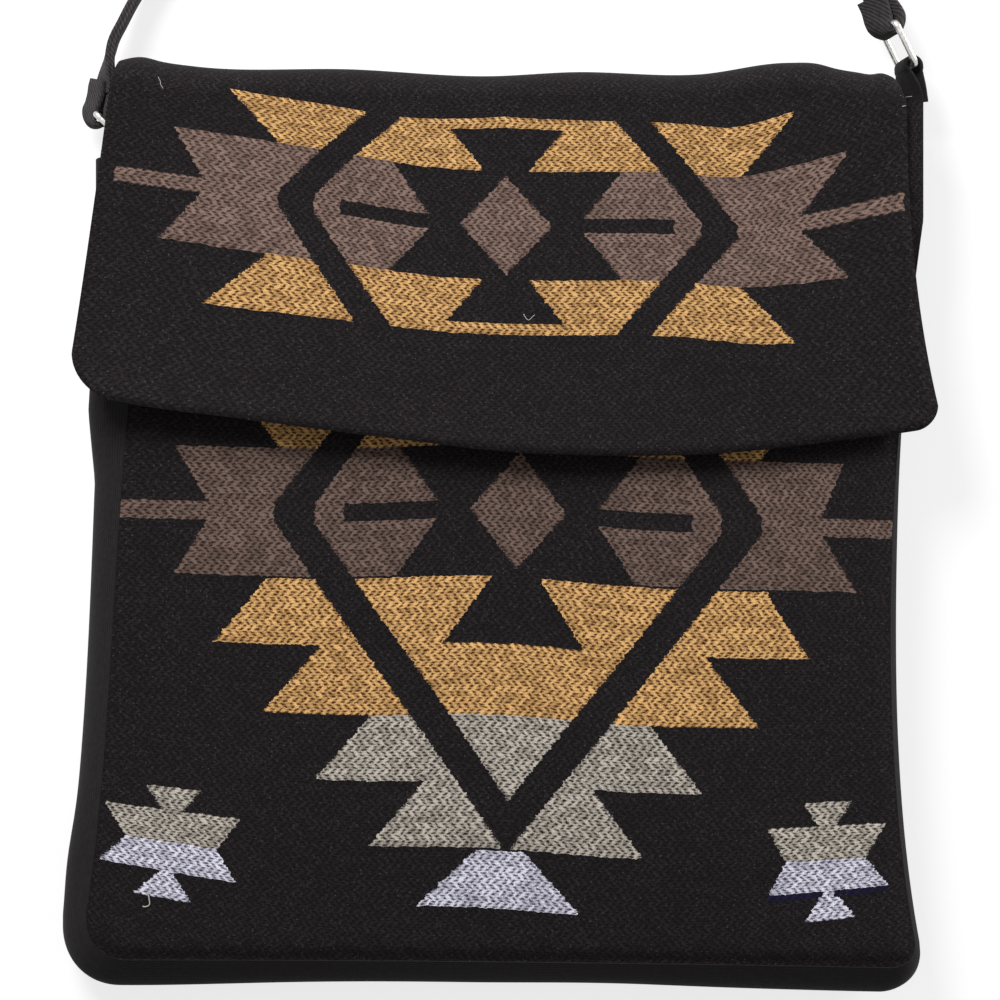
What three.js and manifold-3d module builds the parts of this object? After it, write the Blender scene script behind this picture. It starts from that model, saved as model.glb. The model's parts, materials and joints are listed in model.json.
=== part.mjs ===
// Flap shoulder bag of patterned woven cloth, lying on its back as it comes to rest.
// Millimetres. +X is to the right of someone who faces the front panel, +Y runs up the bag to the
// flap's fold, +Z rises through the front panel. The origin lies on the back panel's resting face.
import * as THREE from "three";
import { mergeVertices } from "three/addons/utils/BufferGeometryUtils.js";
import Module from "manifold-3d";

// Cloth
const CLOTH = 1.4; // woven outer cloth
const LINING = 0.5; // lining cloth
const GAP = 0.3; // room between pieces that touch
const RELIEF = 0.35; // height of the woven figure above its ground
const FIGURE_MARGIN = 2; // from the front panel's seam or the flap's fold to the figure
const FIGURE_JOIN = 0.1; // how far the figure's fields run into each other

// Front and back panels, which share one sewn outline
const PANEL_HEIGHT = 276; // base seam to mouth
const PANEL_WIDTH = 248; // side seam to side seam, above the base
const PANEL_CORNER = 12; // radius of the two lower corners
const BASE_SPREAD = 11; // how far each side swells at the base
const BASE_DROP = 2.5; // how much lower the base seam hangs at its right end
const BASE_SHIFT = -2; // sideways drift of the outline at the base
const MOUTH_SHIFT = 6; // sideways drift of the outline at the mouth
const MOUTH_SLUMP = 16; // how far the mouth has sunk at its left end
const CROWN = 5; // rise of the front panel's middle over its seams

// Gusset, the strip between the two panels
const GUSSET_DEPTH = 22;
const GUSSET_BULGE = 4.8; // how far it swells outwards at half depth, up the sides
const BASE_BULGE = 6.4; // the same along the base
const BASE_LEAN = 6; // sideways lean from back to front, at the base
const MOUTH_LEAN = 15; // the same at the mouth
const LEAN_UP = 3.6; // lean towards the mouth from back to front
const LEAN_FULL = 0.86; // share of the height above which the lean and the drift are full

// Flap, which goes on from the back panel over the mouth
const FOLD_ROOM = 2; // from the mouth to where the fold starts
const FOLD_REACH = 9; // how far the fold stands out
const FOLD_INSET = 4; // from each side seam in to where the fold leaves the back
const FOLD_SAG = 4; // dip of the fold's middle
const FLAP_OVERHANG = 5; // past each side seam, at the flap's top
const FLAP_FLARE = 9; // further out at each end of the lower edge
const FLAP_LENGTH = 114; // fold to lower edge, at the middle
const FLAP_SHIFT = 2.7; // sideways place of the flap's middle
const FLAP_SAG = 14.7; // dip of the lower edge's middle
const FLAP_TILT = 5.6; // how much lower the edge's right end hangs
const FLAP_CORNER = 10;
const FLAP_LIFT = 3; // how far the lower edge stands off the front
const FLAP_DROOP = 0.05; // fall of the flap for each millimetre past the front panel
const FLAP_REST = 0.7; // room under the flap's lining
const FLAP_HEM = 3; // bare border round the flap's lining

// Strap, rings and tabs
const STRAP_WIDTH = 10;
const STRAP_THICKNESS = 3.2;
const STRAP_TAIL = 9; // from the ring's bar to where the strap is single
const STRAP_STEPS = 78;
const RING_WIRE = 2.2; // wire diameter
const RING_LENGTH = 15; // bar to bar
const RING_PLAY = 0.8; // between the strap's edge and the wire
const RING_CORNER = 2; // corner radius at the wire's middle
const RING_CLEAR = 0.5; // from the back's lining up to the ring
const TAB_WIDTH = 10;
const LEFT_REACH = 6.5; // from the gusset's left hem to the left ring's bar
const RIGHT_REACH = 10.5; // the same at the right

// Each side's tab, ring and strap: directions in plan in degrees from +X, the tab's reach and the
// ring's roll
const LEFT_LAY = { tab: 27, reach: LEFT_REACH, ring: 138, strap: 80, roll: 0 };
const RIGHT_LAY = { tab: 91, reach: RIGHT_REACH, ring: 116, strap: 116, roll: 23 };

// Facets
const ACROSS = 18;
const CORNER_ROWS = 4;
const SIDE_ROWS = 12;
const SHOULDER_ROWS = 1;
const FOLD_ROWS = 8;
const FLAP_ROWS = 14;
const DEPTH_ROWS = 4;

// How sharply a change gathers towards one end: 1 is even
const SPREAD_POWER = 5; // the base's swelling, towards the base
const LEAN_POWER = 3; // the lean and the drift, towards the mouth
const LIFT_POWER = 4; // the flap's lift, towards its lower edge
const FLARE_POWER = 1.5; // the flap's widening, towards its lower corners

// Worked out from the sizes above
const PANEL_ROWS = CORNER_ROWS + SIDE_ROWS;
const FOLD_WIDTH = PANEL_WIDTH - 2 * FOLD_INSET;
const FLAP_TOP_WIDTH = PANEL_WIDTH + 2 * FLAP_OVERHANG;
const FLAP_WIDTH = FLAP_TOP_WIDTH + 2 * FLAP_FLARE; // at the lower edge
const FRONT_Z = CLOTH + GUSSET_DEPTH + 2 * GAP; // underside of the front panel at its seam
const FLAP_STACK = FLAP_REST + LINING + GAP + CLOTH; // flap's face above the front panel's face
const RING_WIDTH = STRAP_WIDTH + 2 * RING_PLAY + RING_WIRE; // wire middle to wire middle
const RING_HEIGHT = CLOTH + LINING + 2 * GAP + RING_CLEAR + (RING_WIDTH + RING_WIRE) / 2;
const BAR_HOLE = RING_WIRE / 2 + GAP; // radius left round a ring's bar

const { clamp, degToRad, lerp } = THREE.MathUtils;
const wasm = await Module();
wasm.setup();

const COLOURS = { cloth: 0x231f21, lining: 0x2b2729, tape: 0x2e2c2d, metal: 0xb9b7b4 };

function cloth(color) {
  return new THREE.MeshStandardMaterial({ color, roughness: 0.95, metalness: 0 });
}

function metal(color) {
  return new THREE.MeshStandardMaterial({ color, roughness: 0.3, metalness: 1 });
}

// Geometry with only its corners, each one shared by the faces that meet there
function shared(geometry) {
  geometry.deleteAttribute("normal");
  geometry.deleteAttribute("uv");
  return mergeVertices(geometry, 1e-4);
}

function solid(geometry) {
  const merged = shared(geometry);
  return new wasm.Manifold(
    new wasm.Mesh({
      numProp: 3,
      vertProperties: merged.getAttribute("position").array,
      triVerts: new Uint32Array(merged.index.array),
    }),
  );
}

function geometryOf(body) {
  const mesh = body.getMesh();
  const geometry = new THREE.BufferGeometry();
  geometry.setAttribute("position", new THREE.BufferAttribute(mesh.vertProperties, 3));
  geometry.setIndex(new THREE.BufferAttribute(mesh.triVerts, 1));
  geometry.computeVertexNormals();
  return geometry;
}

// A sheet of cloth: a flat box of across by along cells whose corners are carried to their places.
// place gets across from -1 to 1, the row along the sheet, and 0 or 1 for its two faces.
function sheet(across, along, place) {
  const geometry = shared(new THREE.BoxGeometry(2, along, 1, across, along, 1));
  const corners = geometry.getAttribute("position");
  for (let i = 0; i < corners.count; i++) {
    const row = Math.round(corners.getY(i) + along / 2);
    const spot = place(corners.getX(i), row, corners.getZ(i) + 0.5);
    corners.setXYZ(i, spot.x, spot.y, spot.z);
  }
  geometry.computeVertexNormals();
  return geometry;
}

// Height in the panel's outline, from 0 at the base seam to 1 at the mouth
function riseAt(y) {
  return clamp(y / PANEL_HEIGHT + 0.5, 0, 1);
}

function outlineHalf(rise) {
  return PANEL_WIDTH / 2 + BASE_SPREAD * (1 - rise) ** SPREAD_POWER;
}

// How far the lean and the drift have grown at a height, from 0 at the base to 1
function leanShare(rise) {
  return Math.min(rise / LEAN_FULL, 1) ** LEAN_POWER;
}

function outlineMiddle(rise) {
  return lerp(BASE_SHIFT, MOUTH_SHIFT, leanShare(rise));
}

// A point of the sewn outline's inside: u from -1 to 1 across, row from the base up to the mouth
function seamPoint(u, row, inset) {
  const corner = PANEL_CORNER - inset;
  const base = inset - PANEL_HEIGHT / 2 - BASE_DROP * ((1 + u) / 2) ** 2;
  const mouth = PANEL_HEIGHT / 2 - (MOUTH_SLUMP * (1 - u)) / 2;
  const turn = (Math.min(row / CORNER_ROWS, 1) * Math.PI) / 2;
  const climb = Math.max(row - CORNER_ROWS, 0) / SIDE_ROWS;
  const y = base + corner * (1 - Math.cos(turn)) + climb * (mouth - base - corner);
  const rise = riseAt(y);
  const half = outlineHalf(rise) - inset - corner * (1 - Math.sin(turn));
  return new THREE.Vector2(outlineMiddle(rise) + u * half, y);
}

// How far the bag leans at a height, from the back (depth 0) to the front (depth 1)
function leanAt(y, depth) {
  const sideways = lerp(BASE_LEAN, MOUTH_LEAN, leanShare(riseAt(y)));
  return new THREE.Vector2(sideways, LEAN_UP).multiplyScalar(depth - 0.5);
}

function panelPoint(u, row, inset, depth) {
  const point = seamPoint(u, row, inset);
  return point.add(leanAt(point.y, depth));
}

function crownAt(u, rise) {
  return CROWN * Math.max(1 - u * u, 0) * 4 * rise * (1 - rise);
}

function frontSheet(top, thickness, inset) {
  return sheet(ACROSS, PANEL_ROWS, (u, row, face) => {
    const flat = seamPoint(u, row, inset);
    const point = panelPoint(u, row, inset, 1);
    const z = top + crownAt(u, riseAt(flat.y)) - thickness * (1 - face);
    return new THREE.Vector3(point.x, point.y, z);
  });
}

// Height of the front panel's face over a place in plan, falling away past its side seams
function frontFaceAt(x, y) {
  const rise = riseAt(y - LEAN_UP / 2);
  const half = outlineHalf(rise);
  const u = (x - outlineMiddle(rise) - leanAt(y - LEAN_UP / 2, 1).x) / half;
  const past = Math.max(Math.abs(u) - 1, 0) * half;
  return FRONT_Z + CLOTH + crownAt(clamp(u, -1, 1), rise) - FLAP_DROOP * past;
}

// Place across the flap, -1 and 1 at the two ends of its lower edge
function flapShare(x) {
  return (x - FLAP_SHIFT) / (FLAP_WIDTH / 2);
}

function foldLine(x) {
  return PANEL_HEIGHT / 2 + FOLD_ROOM + FOLD_SAG * flapShare(x) ** 2;
}

function flapEdge(x) {
  const middle = PANEL_HEIGHT / 2 + FOLD_ROOM - FLAP_LENGTH;
  return middle + FLAP_SAG * flapShare(x) ** 2 - FLAP_TILT * flapShare(x);
}

// A point of the back and flap: depth 0 is its outer face and grows inwards. The rows run up the
// back, over the fold and down the flap.
function mantlePoint(u, row, depth, seamInset, hem) {
  if (row <= PANEL_ROWS) {
    const back = panelPoint(u, row, seamInset, 0);
    return new THREE.Vector3(back.x, back.y, depth);
  }
  const turn = clamp((row - PANEL_ROWS - SHOULDER_ROWS) / FOLD_ROWS, 0, 1);
  const fall = Math.max(row - PANEL_ROWS - SHOULDER_ROWS - FOLD_ROWS, 0) / FLAP_ROWS;
  const bend = Math.PI * (turn - 0.5);
  const cornerTurn = clamp(1 - (1 - fall) * (FLAP_ROWS / CORNER_ROWS), 0, 1) * (Math.PI / 2);
  const topHalf = lerp(FOLD_WIDTH, FLAP_TOP_WIDTH, turn) / 2;
  const straight = clamp(fall / (1 - CORNER_ROWS / FLAP_ROWS), 0, 1);
  const spread = ((FLAP_WIDTH - FLAP_TOP_WIDTH) / 2) * straight ** FLARE_POWER;
  const half = topHalf + spread - FLAP_CORNER * (1 - Math.cos(cornerTurn));
  const border = Math.abs(u) === 1 ? hem : 0;
  const x = FLAP_SHIFT + u * (half - border);
  const fold = foldLine(x);
  const edge = flapEdge(x);
  const corner = (FLAP_CORNER - hem) * Math.sin(cornerTurn);
  const run = lerp(fold, edge + FLAP_CORNER, straight) - corner;
  const y = run + (FOLD_REACH - depth) * Math.cos(bend);
  const lift = FLAP_LIFT * ((fold - run) / (fold - edge)) ** LIFT_POWER;
  const face = frontFaceAt(x, run) + FLAP_STACK + lift;
  const z = face / 2 + (face / 2 - depth) * Math.sin(bend);
  return new THREE.Vector3(x, y, z);
}

function mantleSheet(depth, thickness, seamInset, hem) {
  const rows = PANEL_ROWS + SHOULDER_ROWS + FOLD_ROWS + FLAP_ROWS;
  return sheet(ACROSS, rows, (u, row, face) =>
    mantlePoint(u, row, depth + thickness * face, seamInset, hem),
  );
}

// The outline as the gusset follows it: down the left side, along the base and up the right side
function wrapPoint(step, inset) {
  if (step <= PANEL_ROWS) return seamPoint(-1, PANEL_ROWS - step, inset);
  if (step <= PANEL_ROWS + ACROSS) return seamPoint(-1 + (2 * (step - PANEL_ROWS)) / ACROSS, 0, inset);
  return seamPoint(1, step - PANEL_ROWS - ACROSS, inset);
}

function wrapOutward(step) {
  const last = 2 * PANEL_ROWS + ACROSS;
  const before = wrapPoint(Math.max(step - 1, 0), 0);
  const after = wrapPoint(Math.min(step + 1, last), 0);
  const along = after.sub(before).normalize();
  return new THREE.Vector2(along.y, -along.x);
}

// A point of the gusset at a share of its depth, 0 at the back, drawn in by inset from its outer face
function gussetPoint(step, share, inset) {
  const point = wrapPoint(step, 0);
  const outward = wrapOutward(step);
  const bulge = lerp(GUSSET_BULGE, BASE_BULGE, Math.max(-outward.y, 0));
  const swell = bulge * Math.sin(Math.PI * share) - inset;
  return point.add(leanAt(point.y, share)).addScaledVector(outward, swell);
}

function gussetSheet(low, high, inset, thickness) {
  const steps = 2 * PANEL_ROWS + ACROSS;
  return sheet(steps, DEPTH_ROWS, (u, row, face) => {
    const z = lerp(low, high, row / DEPTH_ROWS);
    const share = clamp((z - CLOTH - GAP) / GUSSET_DEPTH, 0, 1);
    const step = Math.round(((u + 1) / 2) * steps);
    const point = gussetPoint(step, share, inset + thickness * (1 - face));
    return new THREE.Vector3(point.x, point.y, z);
  });
}

// The woven figure, as fields that stand up from the ground. Each field is drawn for one side of the
// figure's middle line and mirrored: [lower y, upper y, inner and outer x at lower y, at upper y].
const BAND = 20.5; // half height of the middle band
const TIER = 22.2; // height of one step of the figure
const CHEVRON = { outer: 78.4, inner: 67.8, fall: 0.727 }; // ground-coloured zigzag either side
const BAR = { half: 2.6, inner: 56, outer: 124 }; // half thickness and ends of the bars
const STAR = { outer: 98.4, outerTip: 108, inner: 26, innerTip: 38.4 }; // star points
const LOZENGE = { wide: 15.4, high: 18.7 }; // half sizes
const STEP_TOPS = [79.4, 61.8, 44.5, 27.2]; // half widths of the steps under the band
const STEP_TIPS = [95.7, 79.4, 62.4, 44.2];
const NOTCH = { top: 7.4, foot: 22.9 }; // half widths of the ground inside the first step
const APEX = -91; // where the steps inside the zigzag end
const FOOT = { low: -126.4, high: -108.8, wide: 25.6, narrow: 9 };
const CAP = { high: 21.1, rim: 4, foot: 77, tip: 93, notch: 19.5 }; // the flap's steps

function zigzag(start, y) {
  return Math.max(start - CHEVRON.fall * Math.abs(y), 0);
}

function between(low, high, inner, outer) {
  return [low, high, inner(low), outer(low), inner(high), outer(high)];
}

function slope(low, high, atLow, atHigh) {
  return (y) => lerp(atLow, atHigh, (y - low) / (high - low));
}

const outerEdge = (y) => zigzag(CHEVRON.outer, y);
const innerEdge = (y) => zigzag(CHEVRON.inner, y);
const middleLine = () => 0;

// Middle band: star points either side of the zigzag, bars and a lozenge
function bandFields() {
  const { half } = BAR;
  const upper = [
    between(half, BAND, outerEdge, slope(half, BAND, STAR.outer, STAR.outerTip)),
    between(half, BAND, slope(half, BAND, STAR.inner, STAR.innerTip), innerEdge),
    between(0, LOZENGE.high, middleLine, slope(0, LOZENGE.high, LOZENGE.wide, 0)),
  ];
  const lower = upper.map(([low, high, a, b, c, d]) => [-high, -low, c, d, a, b]);
  const outward = zigzag(CHEVRON.outer, half);
  const inward = zigzag(CHEVRON.inner, half);
  const bars = [
    [-half, half, outward, BAR.outer, outward, BAR.outer],
    [-half, half, BAR.inner, inward, BAR.inner, inward],
  ];
  return [...upper, ...lower, ...bars];
}

// Steps that hang below the band on the front panel
function stepFields() {
  const outside = STEP_TOPS.map((top, i) => {
    const high = -BAND - i * TIER;
    const low = high - TIER;
    return between(low, high, outerEdge, slope(low, high, STEP_TIPS[i], top));
  });
  const first = -BAND - TIER;
  const inside = [
    between(first, -BAND, slope(first, -BAND, NOTCH.foot, NOTCH.top), innerEdge),
    between(APEX, first, middleLine, innerEdge),
  ];
  const foot = [FOOT.low, FOOT.high, 0, FOOT.wide, 0, FOOT.narrow];
  return [...outside, ...inside, foot];
}

// Steps above or below the band on the flap: sign 1 above, -1 below
function capFields(sign) {
  const high = BAND + CAP.high;
  const rim = high - CAP.rim;
  const fields = [
    between(BAND, high, outerEdge, slope(BAND, high, CAP.foot, CAP.tip)),
    between(BAND, rim, slope(BAND, rim, NOTCH.top, CAP.notch), innerEdge),
    between(rim, high, middleLine, innerEdge),
  ];
  if (sign > 0) return fields;
  return fields.map(([low, up, a, b, c, d]) => [-up, -low, c, d, a, b]);
}

// Small figure in each lower corner of the front panel
const CORNER_FIELDS = [
  [10.5, 17.9, 0, 3, 0, 8.8],
  [0, 10.5, 0, 14.6, 0, 21.8],
  [-8.2, 0, 0, 22.4, 0, 14.6],
  [-17, -8.2, 0, 9.3, 0, 2],
];

// Prism over one side of a field, from below the cloth to above it
function fieldPrism(field, side, toPlan) {
  const [low, high, innerLow, outerLow, innerHigh, outerHigh] = field;
  const inwards = (x) => (x === 0 ? -FIGURE_JOIN : x);
  const corners = [
    [inwards(innerLow), low - FIGURE_JOIN],
    [outerLow, low - FIGURE_JOIN],
    [outerHigh, high + FIGURE_JOIN],
    [inwards(innerHigh), high + FIGURE_JOIN],
  ];
  const shape = new THREE.Shape(corners.map(([x, y]) => toPlan(side * x, y)));
  const tall = FRONT_Z + CROWN + FLAP_STACK + FLAP_LIFT + CLOTH;
  const prism = new THREE.ExtrudeGeometry(shape, { depth: 2 * tall, bevelEnabled: false });
  return solid(prism.translate(0, 0, FRONT_Z - CLOTH));
}

function figure(fields, toPlan) {
  const prisms = [];
  for (const field of fields) {
    prisms.push(fieldPrism(field, 1, toPlan), fieldPrism(field, -1, toPlan));
  }
  return wasm.Manifold.union(prisms);
}

// Place of the figures: middle and turn in plan
const FRONT_FIGURE = { x: 7.4, y: 6, turn: -1.9 };
const CORNER_FIGURES = [
  { x: -103.4, y: -97.6, turn: -6 },
  { x: 106, y: -103, turn: 6 },
];
const FLAP_FIGURE = { x: 3.5, drop: 41, scaleX: 0.95, scaleY: 0.84 }; // drop is from the fold
const LEFT_CLIMB = { from: -8, slope: 0.151 }; // rise of the flap's figure towards each side
const RIGHT_CLIMB = { from: 84, slope: 0.17 };

function planBy({ x, y, turn }) {
  const cos = Math.cos(degToRad(turn));
  const sin = Math.sin(degToRad(turn));
  return (fx, fy) => new THREE.Vector2(x + fx * cos - fy * sin, y + fx * sin + fy * cos);
}

// On the flap the middle of the figure's band climbs towards both sides
function bandLine(x) {
  const level = PANEL_HEIGHT / 2 + FOLD_ROOM - FLAP_FIGURE.drop;
  const left = LEFT_CLIMB.slope * Math.max(LEFT_CLIMB.from - x, 0);
  const right = RIGHT_CLIMB.slope * Math.max(x - RIGHT_CLIMB.from, 0);
  return level + left + right;
}

// The flap's figure ends short of the fold
function flapPlan(fx, fy) {
  const x = FLAP_FIGURE.x + fx * FLAP_FIGURE.scaleX;
  const y = bandLine(x) + fy * FLAP_FIGURE.scaleY;
  return new THREE.Vector2(x, Math.min(y, foldLine(x) - FIGURE_MARGIN));
}

function frontPanel() {
  const face = FRONT_Z + CLOTH;
  const plain = solid(frontSheet(face, CLOTH, 0));
  const proud = solid(frontSheet(face + RELIEF, CLOTH, FIGURE_MARGIN));
  const figures = [figure([...bandFields(), ...stepFields()], planBy(FRONT_FIGURE))];
  for (const place of CORNER_FIGURES) figures.push(figure(CORNER_FIELDS, planBy(place)));
  return geometryOf(plain.add(proud.intersect(wasm.Manifold.union(figures))));
}

function backAndFlap() {
  const plain = solid(mantleSheet(0, CLOTH, 0, 0));
  const proud = solid(mantleSheet(-RELIEF, CLOTH, 0, 0));
  const fields = [...bandFields(), ...capFields(1), ...capFields(-1)];
  return geometryOf(plain.add(proud.intersect(figure(fields, flapPlan))));
}

// Rounded oblong ring of wire, in the X-Z plane, from its inner bar at X = 0
function ring() {
  const geometry = new THREE.TorusGeometry(RING_CORNER, RING_WIRE / 2, 8, 32);
  geometry.rotateX(Math.PI / 2);
  const corners = geometry.getAttribute("position");
  const stretchX = RING_LENGTH / 2 - RING_CORNER;
  const stretchZ = RING_WIDTH / 2 - RING_CORNER;
  const side = (value) => (Math.abs(value) < 1e-6 ? 0 : Math.sign(value));
  for (let i = 0; i < corners.count; i++) {
    const angle = new THREE.Vector2(corners.getX(i), corners.getZ(i));
    corners.setX(i, angle.x + side(angle.x) * stretchX + RING_LENGTH / 2);
    corners.setZ(i, angle.y + side(angle.y) * stretchZ);
  }
  geometry.computeVertexNormals();
  return geometry;
}

// Outline of a strip of even thickness along points in its plane
function stripShape(points, thickness) {
  const line = new THREE.SplineCurve(points);
  const stations = [0, 0.25, 0.5, 0.75, 1];
  const edge = (sign) =>
    stations.map((t) => {
      const along = line.getTangent(t);
      const across = new THREE.Vector2(-along.y, along.x);
      return line.getPoint(t).addScaledVector(across, (sign * thickness) / 2);
    });
  return new THREE.Shape([...edge(-1), ...edge(1).reverse()]);
}

// A strip folded round a ring's bar and sewn to itself: points lead from the bar to its sewn end
function barLoop(points, thickness, width) {
  const flat = { depth: width, bevelEnabled: false, curveSegments: 12 };
  const disc = new THREE.Shape().absarc(points[0].x, points[0].y, BAR_HOLE + thickness, 0, 2 * Math.PI);
  const hole = new THREE.Shape().absarc(points[0].x, points[0].y, BAR_HOLE, 0, 2 * Math.PI);
  const neck = stripShape(points, 2 * thickness);
  const through = { ...flat, depth: 3 * width };
  const body = solid(new THREE.ExtrudeGeometry(disc, flat).translate(0, 0, -width / 2))
    .add(solid(new THREE.ExtrudeGeometry(neck, flat).translate(0, 0, -width / 2)))
    .subtract(solid(new THREE.ExtrudeGeometry(hole, through).translate(0, 0, -1.5 * width)));
  return geometryOf(body);
}

function heading(degrees) {
  return new THREE.Vector3(Math.cos(degToRad(degrees)), Math.sin(degToRad(degrees)), 0);
}

// Tab, ring and strap end of one side, in a group whose X runs along the ring and Z along its bars
function hardware(name, step, lay) {
  const share = (RING_HEIGHT - CLOTH - GAP) / GUSSET_DEPTH;
  const hemPlan = gussetPoint(step, share, CLOTH / 2);
  const along = heading(lay.ring);
  const bar = new THREE.Vector3(0, 0, 1).applyAxisAngle(along, degToRad(lay.roll));
  const hemSlope = LEAN_UP / GUSSET_DEPTH;
  const lift = GAP + (TAB_WIDTH / 2) * (Math.abs(bar.y) + hemSlope);
  const hem = new THREE.Vector3(hemPlan.x, hemPlan.y + lift, RING_HEIGHT);
  const pivot = hem.clone().addScaledVector(heading(lay.tab), lay.reach);

  const group = new THREE.Group();
  group.position.copy(pivot);
  group.quaternion.setFromRotationMatrix(
    new THREE.Matrix4().makeBasis(along, bar.clone().cross(along), bar),
  );
  group.updateMatrixWorld(true);
  const local = (point) => {
    const inGroup = group.worldToLocal(point.clone());
    return new THREE.Vector2(inGroup.x, inGroup.y);
  };

  const rise = hem.clone().add(new THREE.Vector3(0, lay.reach / 4, 0));
  const tabLine = [new THREE.Vector2(0, 0), local(rise), local(hem)];
  const tab = new THREE.Mesh(barLoop(tabLine, CLOTH, TAB_WIDTH), cloth(COLOURS.tape));
  tab.name = `tab_${name}`;

  const wire = new THREE.Mesh(ring(), metal(COLOURS.metal));
  wire.name = `ring_${name}`;

  const turn = degToRad(lay.strap - lay.ring);
  const start = new THREE.Vector2(RING_LENGTH, 0);
  const tail = new THREE.Vector2(Math.cos(turn), Math.sin(turn)).multiplyScalar(STRAP_TAIL).add(start);
  const strapLine = [start, start.clone().lerp(tail, 0.5), tail];
  const end = new THREE.Mesh(barLoop(strapLine, STRAP_THICKNESS, STRAP_WIDTH), cloth(COLOURS.tape));
  end.name = `strap_end_${name}`;

  group.add(tab, wire, end);
  const tailEnd = group.localToWorld(new THREE.Vector3(tail.x, tail.y, 0));
  return { group, tailEnd };
}

// Route of the strap's middle on the floor beyond the bag's mouth, folded to and fro: across, beyond
// the mouth's right end, and up from where the strap lies
const STRAP_ROUTE = [
  [-119, 30, 2.4],
  [-113, 43, 0],
  [-100, 58, 0],
  [-78, 65, 0],
  [-20, 65, 0],
  [45, 65, 0],
  [70, 70, 0],
  [80, 86, 0],
  [70, 102, 0],
  [45, 107, 0],
  [0, 107, 0],
  [-50, 107, 0],
  [-75, 112, 0],
  [-85, 128, 0],
  [-75, 144, 0],
  [-50, 149, 0],
  [0, 149, 0],
  [45, 149, 0],
  [70, 154, 0],
  [80, 170, 0],
  [70, 186, 0],
  [45, 191, 0],
  [0, 191, 0],
  [-50, 191, 0],
  [-75, 196, 0],
  [-85, 212, 0],
  [-75, 228, 0],
  [-50, 233, 0],
  [0, 233, 0],
  [70, 230, 0],
  [105, 207, 0],
  [116, 162, 0],
  [118, 112, 0],
  [117, 67, 0.8],
];
const STRAP_LIE = STRAP_WIDTH / 2 + 0.4; // height of the strap's middle where it lies
const LEFT_LEAD = [[0.1, 0.35, 0], [0.8, 8.1, -0.4]]; // from the left tail's end
const RIGHT_LEAD = [[-6, 14.5, -1.2], [-0.45, 0.9, 0]]; // to the right tail's end

function strapPoints(leftTail, rightTail) {
  const from = (tail) => (step) => tail.clone().add(new THREE.Vector3(...step));
  const lying = STRAP_ROUTE.map(
    ([x, beyond, up]) => new THREE.Vector3(x, PANEL_HEIGHT / 2 + beyond, STRAP_LIE + up),
  );
  return [...LEFT_LEAD.map(from(leftTail)), ...lying, ...RIGHT_LEAD.map(from(rightTail))];
}

// Flat strap standing on its edge: an eight-sided section along the route
function strap(leftTail, rightTail) {
  const wide = STRAP_WIDTH / 2;
  const thick = STRAP_THICKNESS / 2;
  const edge = STRAP_THICKNESS / 4;
  const section = new THREE.Shape([
    new THREE.Vector2(wide, -thick + edge),
    new THREE.Vector2(wide, thick - edge),
    new THREE.Vector2(wide - edge, thick),
    new THREE.Vector2(edge - wide, thick),
    new THREE.Vector2(-wide, thick - edge),
    new THREE.Vector2(-wide, edge - thick),
    new THREE.Vector2(edge - wide, -thick),
    new THREE.Vector2(wide - edge, -thick),
  ]);
  const route = new THREE.CatmullRomCurve3(strapPoints(leftTail, rightTail));
  return new THREE.ExtrudeGeometry(section, { steps: STRAP_STEPS, extrudePath: route });
}

const bag = new THREE.Group();

function add(name, geometry, material) {
  const mesh = new THREE.Mesh(geometry, material);
  mesh.name = name;
  bag.add(mesh);
}

const seamInset = CLOTH + GAP;
const liningLow = CLOTH + GAP + LINING + GAP;
const liningHigh = FRONT_Z - GAP - LINING - GAP;
const lastStep = 2 * PANEL_ROWS + ACROSS;

add("back_and_flap", backAndFlap(), cloth(COLOURS.cloth));
add("back_and_flap_lining", mantleSheet(CLOTH + GAP, LINING, seamInset, FLAP_HEM), cloth(COLOURS.lining));
add("front_panel", frontPanel(), cloth(COLOURS.cloth));
add("front_lining", frontSheet(FRONT_Z - GAP, LINING, seamInset), cloth(COLOURS.lining));
add("gusset", gussetSheet(CLOTH + GAP, FRONT_Z - GAP, 0, CLOTH), cloth(COLOURS.cloth));
add("gusset_lining", gussetSheet(liningLow, liningHigh, seamInset, LINING), cloth(COLOURS.lining));
const left = hardware("left", 0, LEFT_LAY);
const right = hardware("right", lastStep, RIGHT_LAY);
bag.add(left.group, right.group);
add("strap", strap(left.tailEnd, right.tailEnd), cloth(COLOURS.tape));

export default bag;
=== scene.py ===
# %% [markdown]
# # A woven shoulder bag with a flap
# The bag lies on its back on a pale floor. Its patterned cloth is one length that goes up the back,
# folds over the mouth and hangs down as the flap. A front panel, a side strip, two wire rings and a
# narrow strap complete it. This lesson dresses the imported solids: each soft solid gives way to a
# cloth piece of the same form, with the weave, folds and edges of the real one.

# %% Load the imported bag
import json
import math

import bpy
import numpy as np
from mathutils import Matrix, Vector, noise


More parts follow.
